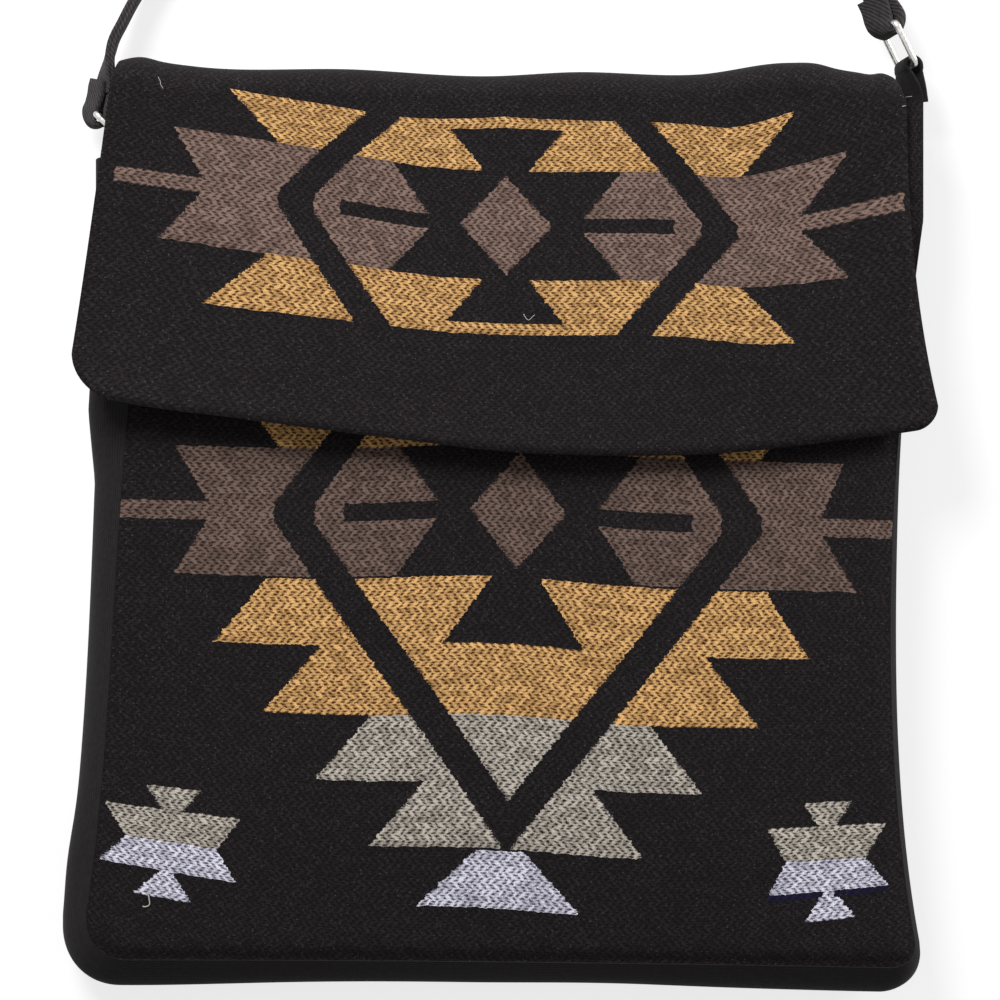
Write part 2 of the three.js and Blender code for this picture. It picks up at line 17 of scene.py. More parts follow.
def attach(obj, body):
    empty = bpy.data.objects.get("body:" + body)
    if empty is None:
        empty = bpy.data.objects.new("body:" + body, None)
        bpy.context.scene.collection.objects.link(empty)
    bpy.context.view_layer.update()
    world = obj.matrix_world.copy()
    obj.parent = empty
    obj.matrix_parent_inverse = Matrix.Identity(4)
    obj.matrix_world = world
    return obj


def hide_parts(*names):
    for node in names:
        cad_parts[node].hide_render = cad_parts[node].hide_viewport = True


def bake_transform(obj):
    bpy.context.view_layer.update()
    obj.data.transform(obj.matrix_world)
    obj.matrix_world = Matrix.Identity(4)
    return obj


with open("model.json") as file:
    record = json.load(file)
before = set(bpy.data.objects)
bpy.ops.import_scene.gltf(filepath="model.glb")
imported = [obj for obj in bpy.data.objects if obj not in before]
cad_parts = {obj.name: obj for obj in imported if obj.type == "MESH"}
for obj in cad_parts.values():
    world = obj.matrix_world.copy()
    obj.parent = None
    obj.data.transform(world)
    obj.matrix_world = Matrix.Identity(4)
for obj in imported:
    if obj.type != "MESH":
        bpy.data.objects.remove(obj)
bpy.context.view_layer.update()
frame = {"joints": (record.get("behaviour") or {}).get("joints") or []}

MM = 0.001

# %% [markdown]
# ## The camera
# The picture looks straight down on the bag. A long lens far away keeps the sides upright, as the
# picture does. A short lens close by would show more of the side strip than there is.

# %% Look straight down
VIEW_MIDDLE = (1.6, 11.5)
VIEW_WIDTH = 320
VIEW_HEIGHT = 29
LENS = 200
SENSOR = 36

bpy.ops.object.select_all(action="DESELECT")
distance = VIEW_WIDTH * LENS / SENSOR
eye = Vector((VIEW_MIDDLE[0], VIEW_MIDDLE[1], VIEW_HEIGHT + distance))
bpy.ops.object.camera_add(location=eye * MM, rotation=(0, 0, 0))
camera = bpy.context.object
camera.data.lens = LENS
camera.data.sensor_width = SENSOR
bpy.context.scene.camera = camera
print("camera", round(distance * MM, 3), "m above the front panel")

# %% [markdown]
# ## Grids that become cloth
# Cloth is a grid of threads, so a grid primitive is a good start for each piece here. Its corners
# are carried to their places row by row, and its UV map keeps the distance in millimetres along
# and across the cloth. A weave that reads that map follows every fold.

# %% Helpers for grids
def deselect():
    if bpy.context.object and bpy.context.object.mode != "OBJECT":
        bpy.ops.object.mode_set(mode="OBJECT")
    bpy.ops.object.select_all(action="DESELECT")


def laid_grid(name, columns, rows, place, weave):
    """A grid whose corner (column, row) goes to place(), with weave() as its UV map, in millimetres."""
    deselect()
    bpy.ops.mesh.primitive_grid_add(x_subdivisions=columns, y_subdivisions=rows, size=2)
    piece = bpy.context.object
    piece.name = name
    piece.data.name = name
    mesh = piece.data
    corners = np.empty(len(mesh.vertices) * 3)
    mesh.vertices.foreach_get("co", corners)
    corners = corners.reshape(-1, 3)
    column = np.rint((corners[:, 0] + 1) / 2 * columns).astype(int)
    row = np.rint((corners[:, 1] + 1) / 2 * rows).astype(int)
    places = [place(i, j) for i, j in zip(column.tolist(), row.tolist())]
    mesh.vertices.foreach_set("co", (np.array(places) * MM).ravel())
    threads = np.array([weave(i, j) for i, j in zip(column.tolist(), row.tolist())])
    owners = np.empty(len(mesh.loops), int)
    mesh.loops.foreach_get("vertex_index", owners)
    mesh.uv_layers[0].name = "Weave"
    mesh.uv_layers[0].data.foreach_set("uv", threads[owners].ravel())
    mesh.update()
    return piece


# %% [markdown]
# ## The strap's route
# The strap is a flat folded tape. From each ring it lies up off the picture, where the rest of it is
# folded to and fro on the floor. A curve with a bevel could carry it, but a swept grid keeps a map
# of the ribs along the tape and lets it roll over where it leaves a ring.

# %% Smooth routes
def bend_shares(t):
    """How much a smooth bend takes, at share t of its way, of its start, its end and the ways at both."""
    return 2 * t**3 - 3 * t**2 + 1, 3 * t**2 - 2 * t**3, t**3 - 2 * t**2 + t, t**3 - t**2


def smooth_route(points, spacing):
    """A centripetal curve through points, with a point about every spacing."""
    knots = [Vector(p) for p in points]
    knots = [knots[0] * 2 - knots[1], *knots, knots[-1] * 2 - knots[-2]]
    route = []
    for before, start, end, after in zip(knots, knots[1:], knots[2:], knots[3:]):
        gaps = [math.sqrt((b - a).length) for a, b in ((before, start), (start, end), (end, after))]
        leave = (start - before) / gaps[0] - (end - before) / (gaps[0] + gaps[1]) + (end - start) / gaps[1]
        reach = (end - start) / gaps[1] - (after - start) / (gaps[1] + gaps[2]) + (after - end) / gaps[2]
        leave, reach = leave * gaps[1], reach * gaps[1]
        steps = max(round((end - start).length / spacing), 1)
        for step in range(steps):
            from_start, from_end, leaving, reaching = bend_shares(step / steps)
            route.append(start * from_start + end * from_end + leave * leaving + reach * reaching)
    route.append(knots[-2])
    return route


def route_lengths(route):
    lengths = [0.0]
    for a, b in zip(route, route[1:]):
        lengths.append(lengths[-1] + (b - a).length)
    return lengths


# %% Tapes
TUBE_CREASE = math.radians(50)
SEW_REACH = 1e-6


def close_tube():
    """Sews the active grid's first column to its last and closes its two ends."""
    bpy.ops.object.mode_set(mode="EDIT")
    bpy.ops.mesh.select_all(action="SELECT")
    bpy.ops.mesh.remove_doubles(threshold=SEW_REACH)
    bpy.ops.mesh.fill_holes(sides=0)
    bpy.ops.mesh.normals_make_consistent(inside=False)
    bpy.ops.object.mode_set(mode="OBJECT")
    bpy.ops.object.shade_smooth_by_angle(angle=TUBE_CREASE)


def tape(name, route, width_ways, section):
    """A closed strip along route. width_ways gives the way that its width points at each place."""
    lengths = route_lengths(route)
    rim = [0.0]
    for (a, b), (c, d) in zip(section, section[1:] + section[:1]):
        rim.append(rim[-1] + math.hypot(c - a, d - b))

    def place(i, j):
        ahead = route[min(j + 1, len(route) - 1)] - route[max(j - 1, 0)]
        ahead.normalize()
        wide = width_ways[j] - ahead * width_ways[j].dot(ahead)
        wide.normalize()
        across, through = section[i % len(section)]
        return route[j] + wide * across + ahead.cross(wide) * through

    piece = laid_grid(name, len(section), len(route) - 1, place, lambda i, j: (rim[i], lengths[j]))
    close_tube()
    return piece


# %% The two ends' places
UP = Vector((0, 0, 1))
joints = {joint["name"]: joint for joint in frame["joints"]}


def ring_axes(joint, degrees, roll, shift):
    """A ring's inner bar, the way along the ring, the way along its bar and the way off its plane."""
    turn = math.radians(degrees)
    along = Vector((math.cos(turn), math.sin(turn), 0))
    aside = Vector((along.y, -along.x, 0))
    bar = UP * math.cos(math.radians(roll)) + aside * math.sin(math.radians(roll))
    inner = Vector(joints[joint]["pos_m"]) / MM + Vector(shift)
    return {"inner": inner, "along": along, "bar": bar, "side": bar.cross(along)}


# The right ring hangs a little slack in its tab, so it lies just off its pivot
LEFT_RING = ring_axes("left_ring_swing", degrees=138, roll=0, shift=(0, 0, 0))
RIGHT_RING = ring_axes("right_ring_swing", degrees=116, roll=17, shift=(1.1, 1.0, 0))


def in_plane(ring, points):
    """Points of a ring's plane, given along the ring and off to its side, as places."""
    return [ring["inner"] + ring["along"] * a + ring["side"] * s for a, s in points]


SIDE_RINGS = {"left": LEFT_RING, "right": RIGHT_RING}
print("inner bars", LEFT_RING["inner"][:], RIGHT_RING["inner"][:])

# %% The strap's whole route
STRAP_LIE = 5.4
LEFT_LEAD = [(-124.8, 153.5, 10.9), (-123.3, 160, 10.3), (-120.7, 165.4, 9.4), (-116.9, 173, 7.6)]
LEFT_LEAD += [(-111, 182.5, 5.9), (-100, 196, STRAP_LIE), (-78, 203, STRAP_LIE)]
RIGHT_LEAD = [(70, 368, STRAP_LIE), (105, 345, STRAP_LIE), (116, 300, STRAP_LIE), (118, 250, STRAP_LIE)]
RIGHT_LEAD += [(117, 205, 6.2), (116.6, 196, 7.6), (118, 186, 9.4)]
FIRST_ROW = 203
ROW_SPACING = 42
ROWS_MIDDLE = -2.5
TURN = [(-47.5, 0), (0, 0), (47.5, 0), (72.5, 5), (82.5, 21), (72.5, 37)]

strap_route = in_plane(LEFT_RING, [(18, -7), (21, -11)]) + LEFT_LEAD
for count in range(4):
    way = 1 if count % 2 == 0 else -1
    for across, beyond in TURN:
        strap_route.append((ROWS_MIDDLE + way * across, FIRST_ROW + ROW_SPACING * count + beyond, STRAP_LIE))
strap_route += [(-50, 371, STRAP_LIE), (0, 371, STRAP_LIE)] + RIGHT_LEAD
strap_route += in_plane(RIGHT_RING, [(28.5, -1.4), (24, -1.4)])
print("strap's route has", len(strap_route), "points")

# %% The strap in two lengths
STRAP_SPLIT = Vector((ROWS_MIDDLE, FIRST_ROW + 2 * ROW_SPACING, STRAP_LIE))
STRAP_STEP = 1.8
# Half of the folded tape's section, from the groove between its two layers round to the other edge
STRAP_HALF = [
    (4.5, 0), (5.0, 0.55), (5.0, 1.05), (4.6, 1.5), (3.6, 1.6), (1.2, 1.66), (-1.2, 1.66),
    (-3.6, 1.6), (-4.6, 1.5), (-5.0, 1.0), (-5.0, 0.4),
]
STRAP_SECTION = STRAP_HALF + [(across, -through) for across, through in STRAP_HALF[:0:-1]]
# The way that each end's width points, at the ring's outer bar and where the two strands meet
END_WAYS = {
    "left": (Vector((0.25, 0, 1)), Vector((0.62, 0, 1))),
    "right": (Vector((0.35, 0.17, 0.92)), Vector((0.8, 0.39, 0.45))),
}
ROLL_END = {"left": 16, "right": 70}


def clamp(value, low=0.0, high=1.0):
    return min(max(value, low), high)


strap_line = smooth_route(strap_route, STRAP_STEP)
split = min(range(len(strap_line)), key=lambda i: (strap_line[i] - STRAP_SPLIT).length)
strap_lines = {"left": strap_line[: split + 1], "right": strap_line[split:][::-1]}
strap_halves = {}
for side, line in strap_lines.items():
    start_way = END_WAYS[side][1].normalized()
    ways = []
    for run in route_lengths(line):
        settle = clamp(run / ROLL_END[side])
        ways.append(start_way.lerp(UP, settle * settle * (3 - 2 * settle)))
    half = tape(f"strap_{side}", line, ways, STRAP_SECTION)
    strap_halves[side] = half
    print(half.name, "length", round(route_lengths(line)[-1]), "mm")

# %% [markdown]
# ## The sewn ends and the tabs
# Each end of the strap goes round the outer bar of its ring and is sewn back onto itself. A cloth tab
# goes round the inner bar in the same way. Each is one strip in a tear-shaped loop, drawn by a few
# points in the ring's plane, and the tape helper gives it its width.

# %% Sewn ends of the strap
STRAP_WIDTH = 10
SEWN_LOOPS = {
    "left": [(22.4, -8.8), (21.6, -7.2), (20.1, -5.0), (18.7, -2.3), (17.8, 0.1), (16.0, 2.0), (13.8, 2.7)]
    + [(12.2, 1.3), (12.9, -1.1), (15.1, -3.5), (18, -7), (21, -11)],
    "right": [(25.6, 1.3), (22, 1.4), (18.5, 2.1), (16, 2.6), (13.5, 2.1), (12.4, 0)]
    + [(13.5, -2.1), (16, -2.6), (18.5, -2.1), (22, -1.5), (27, -1.4)],
}
SEWN_THICKNESS = {"left": 2.0, "right": 2.2}
TURN_START = 13.5
TURN_RUN = 4.5
EDGE_ROUNDING = 0.3
LOOP_STEP = 0.5


def flat_section(width, thickness):
    """A strip's outline with rounded edges."""
    wide = width / 2
    thick = thickness / 2
    edge = thickness * EDGE_ROUNDING
    cut = edge * EDGE_ROUNDING
    quarter = [(wide, thick - edge), (wide - cut, thick - cut), (wide - edge, thick)]
    top = quarter + [(wide / 3, thick)]
    half = top + [(-across, through) for across, through in top[::-1]]
    return half + [(-across, -through) for across, through in half]


strap_ends = {}
for side, ring in SIDE_RINGS.items():
    line = smooth_route(in_plane(ring, SEWN_LOOPS[side]), LOOP_STEP)
    section = flat_section(STRAP_WIDTH, SEWN_THICKNESS[side])
    ways = []
    for place in line:
        share = clamp(((place - ring["inner"]).dot(ring["along"]) - TURN_START) / TURN_RUN)
        ways.append(END_WAYS[side][0].lerp(END_WAYS[side][1], share))
    strap_ends[side] = tape(f"strap_end_{side}_sewn", line, ways, section)
    print(strap_ends[side].name, "strip", round(route_lengths(line)[-1]), "mm long")

# %% Tabs
TAB_CLOTH = 1.4
TAB_SLACK = 0.1
TAB_PARTING = 0.55
TAB_WIDTH = 10
TAB_RADII = {"left": 2.1, "right": 2.7}
TAB_HEMS = {"left": (-123.1, 122.8, 11), "right": (134.2, 139.7, 11.5)}
TAB_RISES = {"left": 1.6, "right": 2.6}
HEM_WAYS = {"left": Vector((0, 0, 1)), "right": Vector((0.95, 0.05, 0.3))}
ARC_TURNS = [48, 75, 105, 135, 165, 195, 225, 255, 285, 312]


def tab_line(ring, hem, rise, radius):
    """A tab's middle line: up from the hem, round the ring's inner bar and back, side by side."""
    off = Vector(hem) - ring["inner"]
    last = Vector((off.dot(ring["along"]), off.dot(ring["side"])))
    off.y += rise
    first = Vector((off.dot(ring["along"]), off.dot(ring["side"])))
    leave = first.normalized()
    aside = Vector((-leave.y, leave.x))
    end = (last - first).normalized()
    end_aside = Vector((-end.y, end.x))
    line = [last + end_aside * TAB_CLOTH / 2, first + aside * TAB_CLOTH * TAB_PARTING]
    for turn in ARC_TURNS:
        angle = math.radians(turn)
        line.append((leave * math.cos(angle) + aside * math.sin(angle)) * radius)
    line += [first - aside * TAB_CLOTH * TAB_PARTING, last - end_aside * TAB_CLOTH / 2]
    return smooth_route(in_plane(ring, line), LOOP_STEP)


tabs = {}
for side, ring in SIDE_RINGS.items():
    hem = Vector(TAB_HEMS[side])
    line = tab_line(ring, hem, TAB_RISES[side], TAB_RADII[side])
    reach = (hem - ring["inner"]).length
    ways = [HEM_WAYS[side].lerp(ring["bar"], clamp((p - hem).length / reach)) for p in line]
    tabs[side] = tape(f"tab_{side}_cloth", line, ways, flat_section(TAB_WIDTH, TAB_CLOTH - TAB_SLACK))
    print(tabs[side].name, "strip", round(route_lengths(line)[-1]), "mm long")

# %% [markdown]
# ## The wire rings
# Each ring is a piece of nickelled wire bent to an oblong. A torus has the round wire and the round
# corners. Its four quarters are moved apart, which leaves straight bars between them.

# %% Bend the wire
RING_WIRE = 2.2
RING_LENGTH = 15
RING_WIDTH = 13.8
RING_CORNER = 2
rings = {}
for side, ring in SIDE_RINGS.items():
    deselect()
    bpy.ops.mesh.primitive_torus_add(
        major_segments=48, minor_segments=20, major_radius=RING_CORNER, minor_radius=RING_WIRE / 2
    )
    wire = bpy.context.object
    wire.name = f"ring_{side}_wire"
    wire.data.name = wire.name
    middle = ring["inner"] + ring["along"] * RING_LENGTH / 2
    for corner in wire.data.vertices:
        x, y, z = corner.co
        spread = math.hypot(x, y)
        x += (RING_LENGTH / 2 - RING_CORNER) * np.sign(round(x / spread, 4))
        y += (RING_WIDTH / 2 - RING_CORNER) * np.sign(round(y / spread, 4))
        corner.co = (middle + ring["along"] * x + ring["bar"] * y + ring["side"] * z) * MM
    bpy.ops.object.mode_set(mode="EDIT")
    bpy.ops.mesh.select_all(action="SELECT")
    bpy.ops.mesh.normals_make_consistent(inside=False)
    bpy.ops.object.mode_set(mode="OBJECT")
    bpy.ops.object.shade_smooth()
    rings[side] = wire
    print(wire.name, len(wire.data.polygons), "faces")

# %% [markdown]
# ## The sewn outline
# Front and back are cut to one outline, and the side strip runs round it. The bag has sagged: its
# base swells, its mouth has slumped to the left, and the front leans to the right of the back. The
# outline is a few formulas, so every piece that meets there reads the same ones.

# %% Outline of the panels
PANEL_HEIGHT = 276
PANEL_WIDTH = 248
PANEL_CORNERS = (16, 9)
PANEL_ROWS = 16
CORNER_ROWS = 4
# The swollen base, and how the base and the mouth have shifted and slumped
BASE_SPREAD = 11
BASE_DROP = 2.5
BASE_SHIFT = -2
MOUTH_SHIFT = 6
MOUTH_SLUMP = 16
# How far the front lies to the right of the back and above it
BASE_LEAN = 6
MOUTH_LEAN = 15
LEAN_FULL = 0.86
LEAN_UP = 3.6
CLOTH = 1.4
GAP = 0.3
GUSSET_DEPTH = 22
FRONT_Z = CLOTH + GUSSET_DEPTH + 2 * GAP


def lerp(a, b, share):
    return a + (b - a) * share


def rise_at(y):
    return clamp(y / PANEL_HEIGHT + 0.5)


def outline_half(rise):
    return PANEL_WIDTH / 2 + BASE_SPREAD * (1 - rise) ** 5


def lean_share(rise):
    return min(rise / LEAN_FULL, 1) ** 3


def outline_middle(rise):
    return lerp(BASE_SHIFT, MOUTH_SHIFT, lean_share(rise))


def seam_point(u, row, inset):
    """A point of the outline's inside: u from -1 to 1 across, row from the base up to the mouth."""
    corner = lerp(*PANEL_CORNERS, (1 + u) / 2) - inset
    base = inset - PANEL_HEIGHT / 2 - BASE_DROP * ((1 + u) / 2) ** 2
    mouth = PANEL_HEIGHT / 2 - MOUTH_SLUMP * (1 - u) / 2
    turn = min(row / CORNER_ROWS, 1) * math.pi / 2
    climb = max(row - CORNER_ROWS, 0) / (PANEL_ROWS - CORNER_ROWS)
    y = base + corner * (1 - math.cos(turn)) + climb * (mouth - base - corner)
    rise = rise_at(y)
    half = outline_half(rise) - inset - corner * (1 - math.sin(turn))
    return outline_middle(rise) + u * half, y


def lean_at(y, depth):
    sideways = lerp(BASE_LEAN, MOUTH_LEAN, lean_share(rise_at(y)))
    return sideways * (depth - 0.5), LEAN_UP * (depth - 0.5)


def panel_point(u, row, inset, depth):
    x, y = seam_point(u, row, inset)
    lean = lean_at(y, depth)
    return x + lean[0], y + lean[1]


# %% [markdown]
# ## The figure
# The weaver drew the figure as straight-sided fields: a band with star points, a lozenge, a dark
# zigzag and steps that hang below. Each field here is a strip between two heights with a left and a
# right edge, mirrored about the middle line. One list serves both the relief and the colours.

# %% Heights and edges of the figure
# Where the zigzag's outer and inner edges stand at the middle height
FRONT_ZIGZAG = (80.2, 67.4)
FLAP_ZIGZAG = (78.4, 66.6)
ZIGZAG_FALL = 0.727
BAND = 20.5
BAR = 2.9
CAP_TOP = 41.6
CAP_RIM = 37.6
STEP_START = -21
STEP = 22.2
LAST_STEP = 21.3
# Half widths of the steps at their upper and lower edges
STEP_TOPS = [79.4, 61.8, 44.5, 27.2]
STEP_TIPS = [95.7, 79.4, 62.4, 44.2]
STEP_YARNS = ["gold", "gold", "beige", "beige"]
APEX = -93.2
FOOT_LOW = -127.9
FOOT_HIGH = -109.5
FOOT_SHIFT = -1.9
FRINGE = 1.9


def zigzag(start):
    """An edge of the zigzag: how far it stands from the middle line at each height."""
    return lambda along: max(start - ZIGZAG_FALL * abs(along), 0)


def field(low, high, inner, outer):
    """A strip between two heights. inner and outer are functions, or pairs of values at low and high."""
    edges = [(edge(low), edge(high)) if callable(edge) else edge for edge in (inner, outer)]
    return low, high, edges[0][0], edges[1][0], edges[0][1], edges[1][1]


# %% Fields of the figure
MIDDLE = (0, 0)


def band_fields(outer, inner):
    return {
        "taupe": [
            field(BAR, BAND, outer, (98.4, 108)),
            field(BAR, BAND, (26, 38.4), inner),
            field(-BAR, BAR, (outer(BAR),) * 2, (124, 124)),
            field(-BAR, BAR, (56, 56), inner),
            field(-0.01, 18.7, MIDDLE, (15.4, 0)),
        ]
    }


def cap_fields(outer, inner):
    return {
        "gold": [
            field(BAND, CAP_TOP, outer, (77, 93)),
            field(BAND, CAP_RIM, (7.4, 19.5), inner),
            field(CAP_RIM, CAP_TOP, MIDDLE, inner),
        ]
    }


zigzag_outer, zigzag_inner = [zigzag(start) for start in FRONT_ZIGZAG]
flap_edges = [zigzag(start) for start in FLAP_ZIGZAG]
STEP_FIELDS = {"gold": [], "beige": []}
for count, yarn in enumerate(STEP_YARNS):
    high = STEP_START - STEP * count
    low = high - (LAST_STEP if count == len(STEP_YARNS) - 1 else STEP)
    STEP_FIELDS[yarn].append(field(low, high, zigzag_outer, (STEP_TIPS[count], STEP_TOPS[count])))
STEP_FIELDS["gold"].append(field(STEP_START - STEP, STEP_START, (22.9, 7.4), zigzag_inner))
STEP_FIELDS["gold"].append(field(STEP_START - 2 * STEP, STEP_START - STEP, MIDDLE, zigzag_inner))
STEP_FIELDS["beige"].append(field(APEX, STEP_START - 2 * STEP, MIDDLE, zigzag_inner))
FOOT_FIELDS = {"lavender": [field(FOOT_LOW, FOOT_HIGH, MIDDLE, (26.2, 7.6))]}
CORNER_FIELDS = {
    "beige": [field(10.5, 17.9, MIDDLE, (3, 8.8)), field(0, 10.5, MIDDLE, (14.6, 21.8))],
    "lavender": [field(-10, 0, MIDDLE, (22.4, 14.6)), field(-19, -10, MIDDLE, (9.3, 2))],
}
FRINGE_FIELDS = {"navy": [field(-10 - FRINGE, -10, (2, 2), (21.4, 22.4))]}
CORNER_REACH = 105
CORNER_SPREAD = 0.12
CORNER_SHIFT = -2.35
CORNER_HEIGHTS = (-115.3, -111.4)
CORNER_STRETCH = 1.12
CORNER_RIGHT_SCALE = 1.15

FRONT_FIGURE = [(band_fields(zigzag_outer, zigzag_inner), "mirrored")]
FRONT_FIGURE += [(cap_fields(zigzag_outer, zigzag_inner), "upright"), (STEP_FIELDS, "upright")]
FRONT_FIGURE += [(FOOT_FIELDS, "foot"), (CORNER_FIELDS, "corner"), (FRINGE_FIELDS, "right corner")]
FLAP_FIGURE = [(band_fields(*flap_edges), "mirrored"), (cap_fields(*flap_edges), "mirrored")]
print("fields:", sum(len(strips) for part, _ in FRONT_FIGURE for strips in part.values()), "on the front")


# %% Is a place in the figure
def figure_place(kind, u, v):
    """Distances from a figure's middle line and middle height, for one way of drawing it."""
    if "corner" in kind:
        height = (v - CORNER_HEIGHTS[u > 0]) / CORNER_STRETCH
        reach = CORNER_REACH + CORNER_SPREAD * max(-height, 0)
        shifted = u - CORNER_SHIFT if kind == "right corner" else abs(u - CORNER_SHIFT)
        return abs(shifted - reach) * (CORNER_RIGHT_SCALE if u > 0 else 1), height
    if kind == "foot":
        return abs(u - FOOT_SHIFT), v
    return abs(u), abs(v) if kind == "mirrored" else v


def in_figure(figure, u, v):
    for fields, kind in figure:
        across, along = figure_place(kind, u, v)
        for yarn, strips in fields.items():
            for low, high, inner_low, outer_low, inner_high, outer_high in strips:
                share = (along - low) / (high - low)
                if yarn == "navy" or not 0 <= share < 1:
                    continue
                if lerp(inner_low, inner_high, share) <= across < lerp(outer_low, outer_high, share):
                    return True
    return False


print("middle of the front in the figure:", in_figure(FRONT_FIGURE, 0, 0))

# %% [markdown]
# ## The front panel
# The front is a soft face that crowns in its middle and rolls down into the seam at its edge. Cloth
# that is sewn round a curve puckers, so small ripples run in from the seam. The grid is dense
# enough for the low relief of the figure.

# %% Shape of the front
CROWN = 5
# Each swell's height, length and seed
SWELLS = [(0.9, 62, 3.1), (0.35, 21, 8.4)]
SWELL_START = 25


def soft_wave(x, y, length, seed):
    """Low hollows and swells of slack cloth, from -1 to 1."""
    return noise.noise(Vector((x / length, y / length, seed)))


def crown_at(u, rise):
    return CROWN * max(1 - u * u, 0) * 4 * rise * (1 - rise)


def seam_distance(x, y):
    """How far a place of the outline's inside is from the seam at its sides and base."""
    rise = rise_at(y)
    off = x - outline_middle(rise)
    side = outline_half(rise) - abs(off)
    base = y + PANEL_HEIGHT / 2 + BASE_DROP * ((1 + off / outline_half(rise)) / 2) ** 2
    corner = PANEL_CORNERS[0] if off < 0 else PANEL_CORNERS[1]
    if side < corner and base < corner:
        return corner - math.hypot(corner - side, corner - base)
    return min(side, base)


def front_swell(x, y):
    """Waves of the front's slack cloth in millimetres, given the place before it leans."""
    edge = clamp(seam_distance(x, y) / SWELL_START)
    return edge * sum(high * soft_wave(x, y, length, seed) for high, length, seed in SWELLS)


def front_height(x, y):
    rise = rise_at(y)
    u = clamp((x - outline_middle(rise)) / outline_half(rise), -1, 1)
    return FRONT_Z + CLOTH + crown_at(u, rise) + front_swell(x, y)


# %% The front's weave
FIGURE_MIDDLE = (7.4, 6.0)
AXIS_LEAN = math.tan(math.radians(2.1))
ROW_SLOPE = math.tan(math.radians(1.6))
# Towards the base the rows sag and slope more
ROW_SMILE = 0.00063
SLOPE_GROWTH = 0.56
SAG_HEIGHT = 110
# The ends of the band are stretched, and the right star leans
BAND_STRETCH = 0.00126
STRETCH_HEIGHT = 90
STAR_LEAN = 0.133
STAR_START = 70
STAR_RUN = 30
STAR_TOP = 26
STAR_FADE = 5
# The rows rise in the middle
ROW_HUMP = 3.0
HUMP_PLACE = -1.6
HUMP_REACH = 36
HUMP_REST = 0.65


def front_weave(x, y):
    """Place in the front's weave of a place in plan. The rows rise in the middle and sag near the base."""
    across = x - FIGURE_MIDDLE[0] - AXIS_LEAN * (y - FIGURE_MIDDLE[1])
    slope = ROW_SLOPE * (x - FIGURE_MIDDLE[0])
    hump = ROW_HUMP * math.exp(-(((x - HUMP_PLACE) / HUMP_REACH) ** 2)) - HUMP_REST
    along = y - FIGURE_MIDDLE[1] + slope - hump
    sag = max(-along / SAG_HEIGHT, 0) ** 2
    wide = BAND_STRETCH * max(abs(across) - STAR_START, 0) ** 2 * max(1 + along / STRETCH_HEIGHT, 0)
    lean = STAR_LEAN * along * clamp((across - STAR_START) / STAR_RUN)
    lean *= clamp((STAR_TOP - abs(along)) / STAR_FADE)
    return across + wide + lean, along + SLOPE_GROWTH * sag * slope - ROW_SMILE * sag * across**2


# %% Lay the front panel
RELIEF = 0.25
SEAM_ROLL = 1.9
SEAM_SOFT = 3.2
PUCKER = 0.22
PUCKER_PITCH = 0.62
PUCKER_REACH = 7
PUCKER_START = 2
# How far the puckers wander, over what length, and a seed
PUCKER_WANDER = (2, 15, 1.7)
FRONT_COLUMNS = 176
FRONT_ROWS = 184
CLOTH_CREASE = math.radians(60)


def give_thickness(piece, thickness):
    """Thickens a sheet inwards from its outer face."""
    wall = piece.modifiers.new("cloth", "SOLIDIFY")
    wall.thickness = thickness * MM
    wall.offset = -1
    bpy.ops.object.modifier_apply(modifier=wall.name)
    bpy.ops.object.shade_smooth_by_angle(angle=CLOTH_CREASE)


def front_plan(i, j):
    return panel_point(2 * i / FRONT_COLUMNS - 1, j * PANEL_ROWS / FRONT_ROWS, 0, 1)


def front_place(i, j):
    flat = seam_point(2 * i / FRONT_COLUMNS - 1, j * PANEL_ROWS / FRONT_ROWS, 0)
    x, y = front_plan(i, j)
    edge = seam_distance(*flat)
    wander, length, seed = PUCKER_WANDER
    ripple = math.sin((flat[0] + flat[1]) * PUCKER_PITCH + wander * soft_wave(x, y, length, seed))
    z = front_height(*flat) - SEAM_ROLL * math.exp(-((edge / SEAM_SOFT) ** 2))
    z += PUCKER * ripple * math.exp(-edge / PUCKER_REACH) * clamp(edge / PUCKER_START)
    if edge > PUCKER_START and in_figure(FRONT_FIGURE, *front_weave(x, y)):
        z += RELIEF
    return x, y, z


front = laid_grid(
    "front_panel_cloth",
    FRONT_COLUMNS,
    FRONT_ROWS,
    front_place,
    lambda i, j: front_weave(*front_plan(i, j)),
)
give_thickness(front, CLOTH)
print(front.name, len(front.data.polygons), "faces")

# %% [markdown]
# ## The back and flap
# One length of cloth goes up the back, over the fold and down the flap. Its fold line and its lower
# edge wave, so both are drawn as smooth lines through a few points. The border of the flap turns
# down in a hem, and the lower edge stands a little off the front, which gives its dark shadow.

# %% Lines of the flap
def drawn_line(points):
    """A smooth line through given points, as a function of x."""
    xs, ys = np.array(points, float).T
    slopes = np.gradient(ys, xs)

    def at(x):
        i = int(np.clip(np.searchsorted(xs, x) - 1, 0, len(xs) - 2))
        width = xs[i + 1] - xs[i]
        from_start, from_end, leaving, reaching = bend_shares(clamp((x - xs[i]) / width))
        level = ys[i] * from_start + ys[i + 1] * from_end
        return level + width * (slopes[i] * leaving + slopes[i + 1] * reaching)

    return at


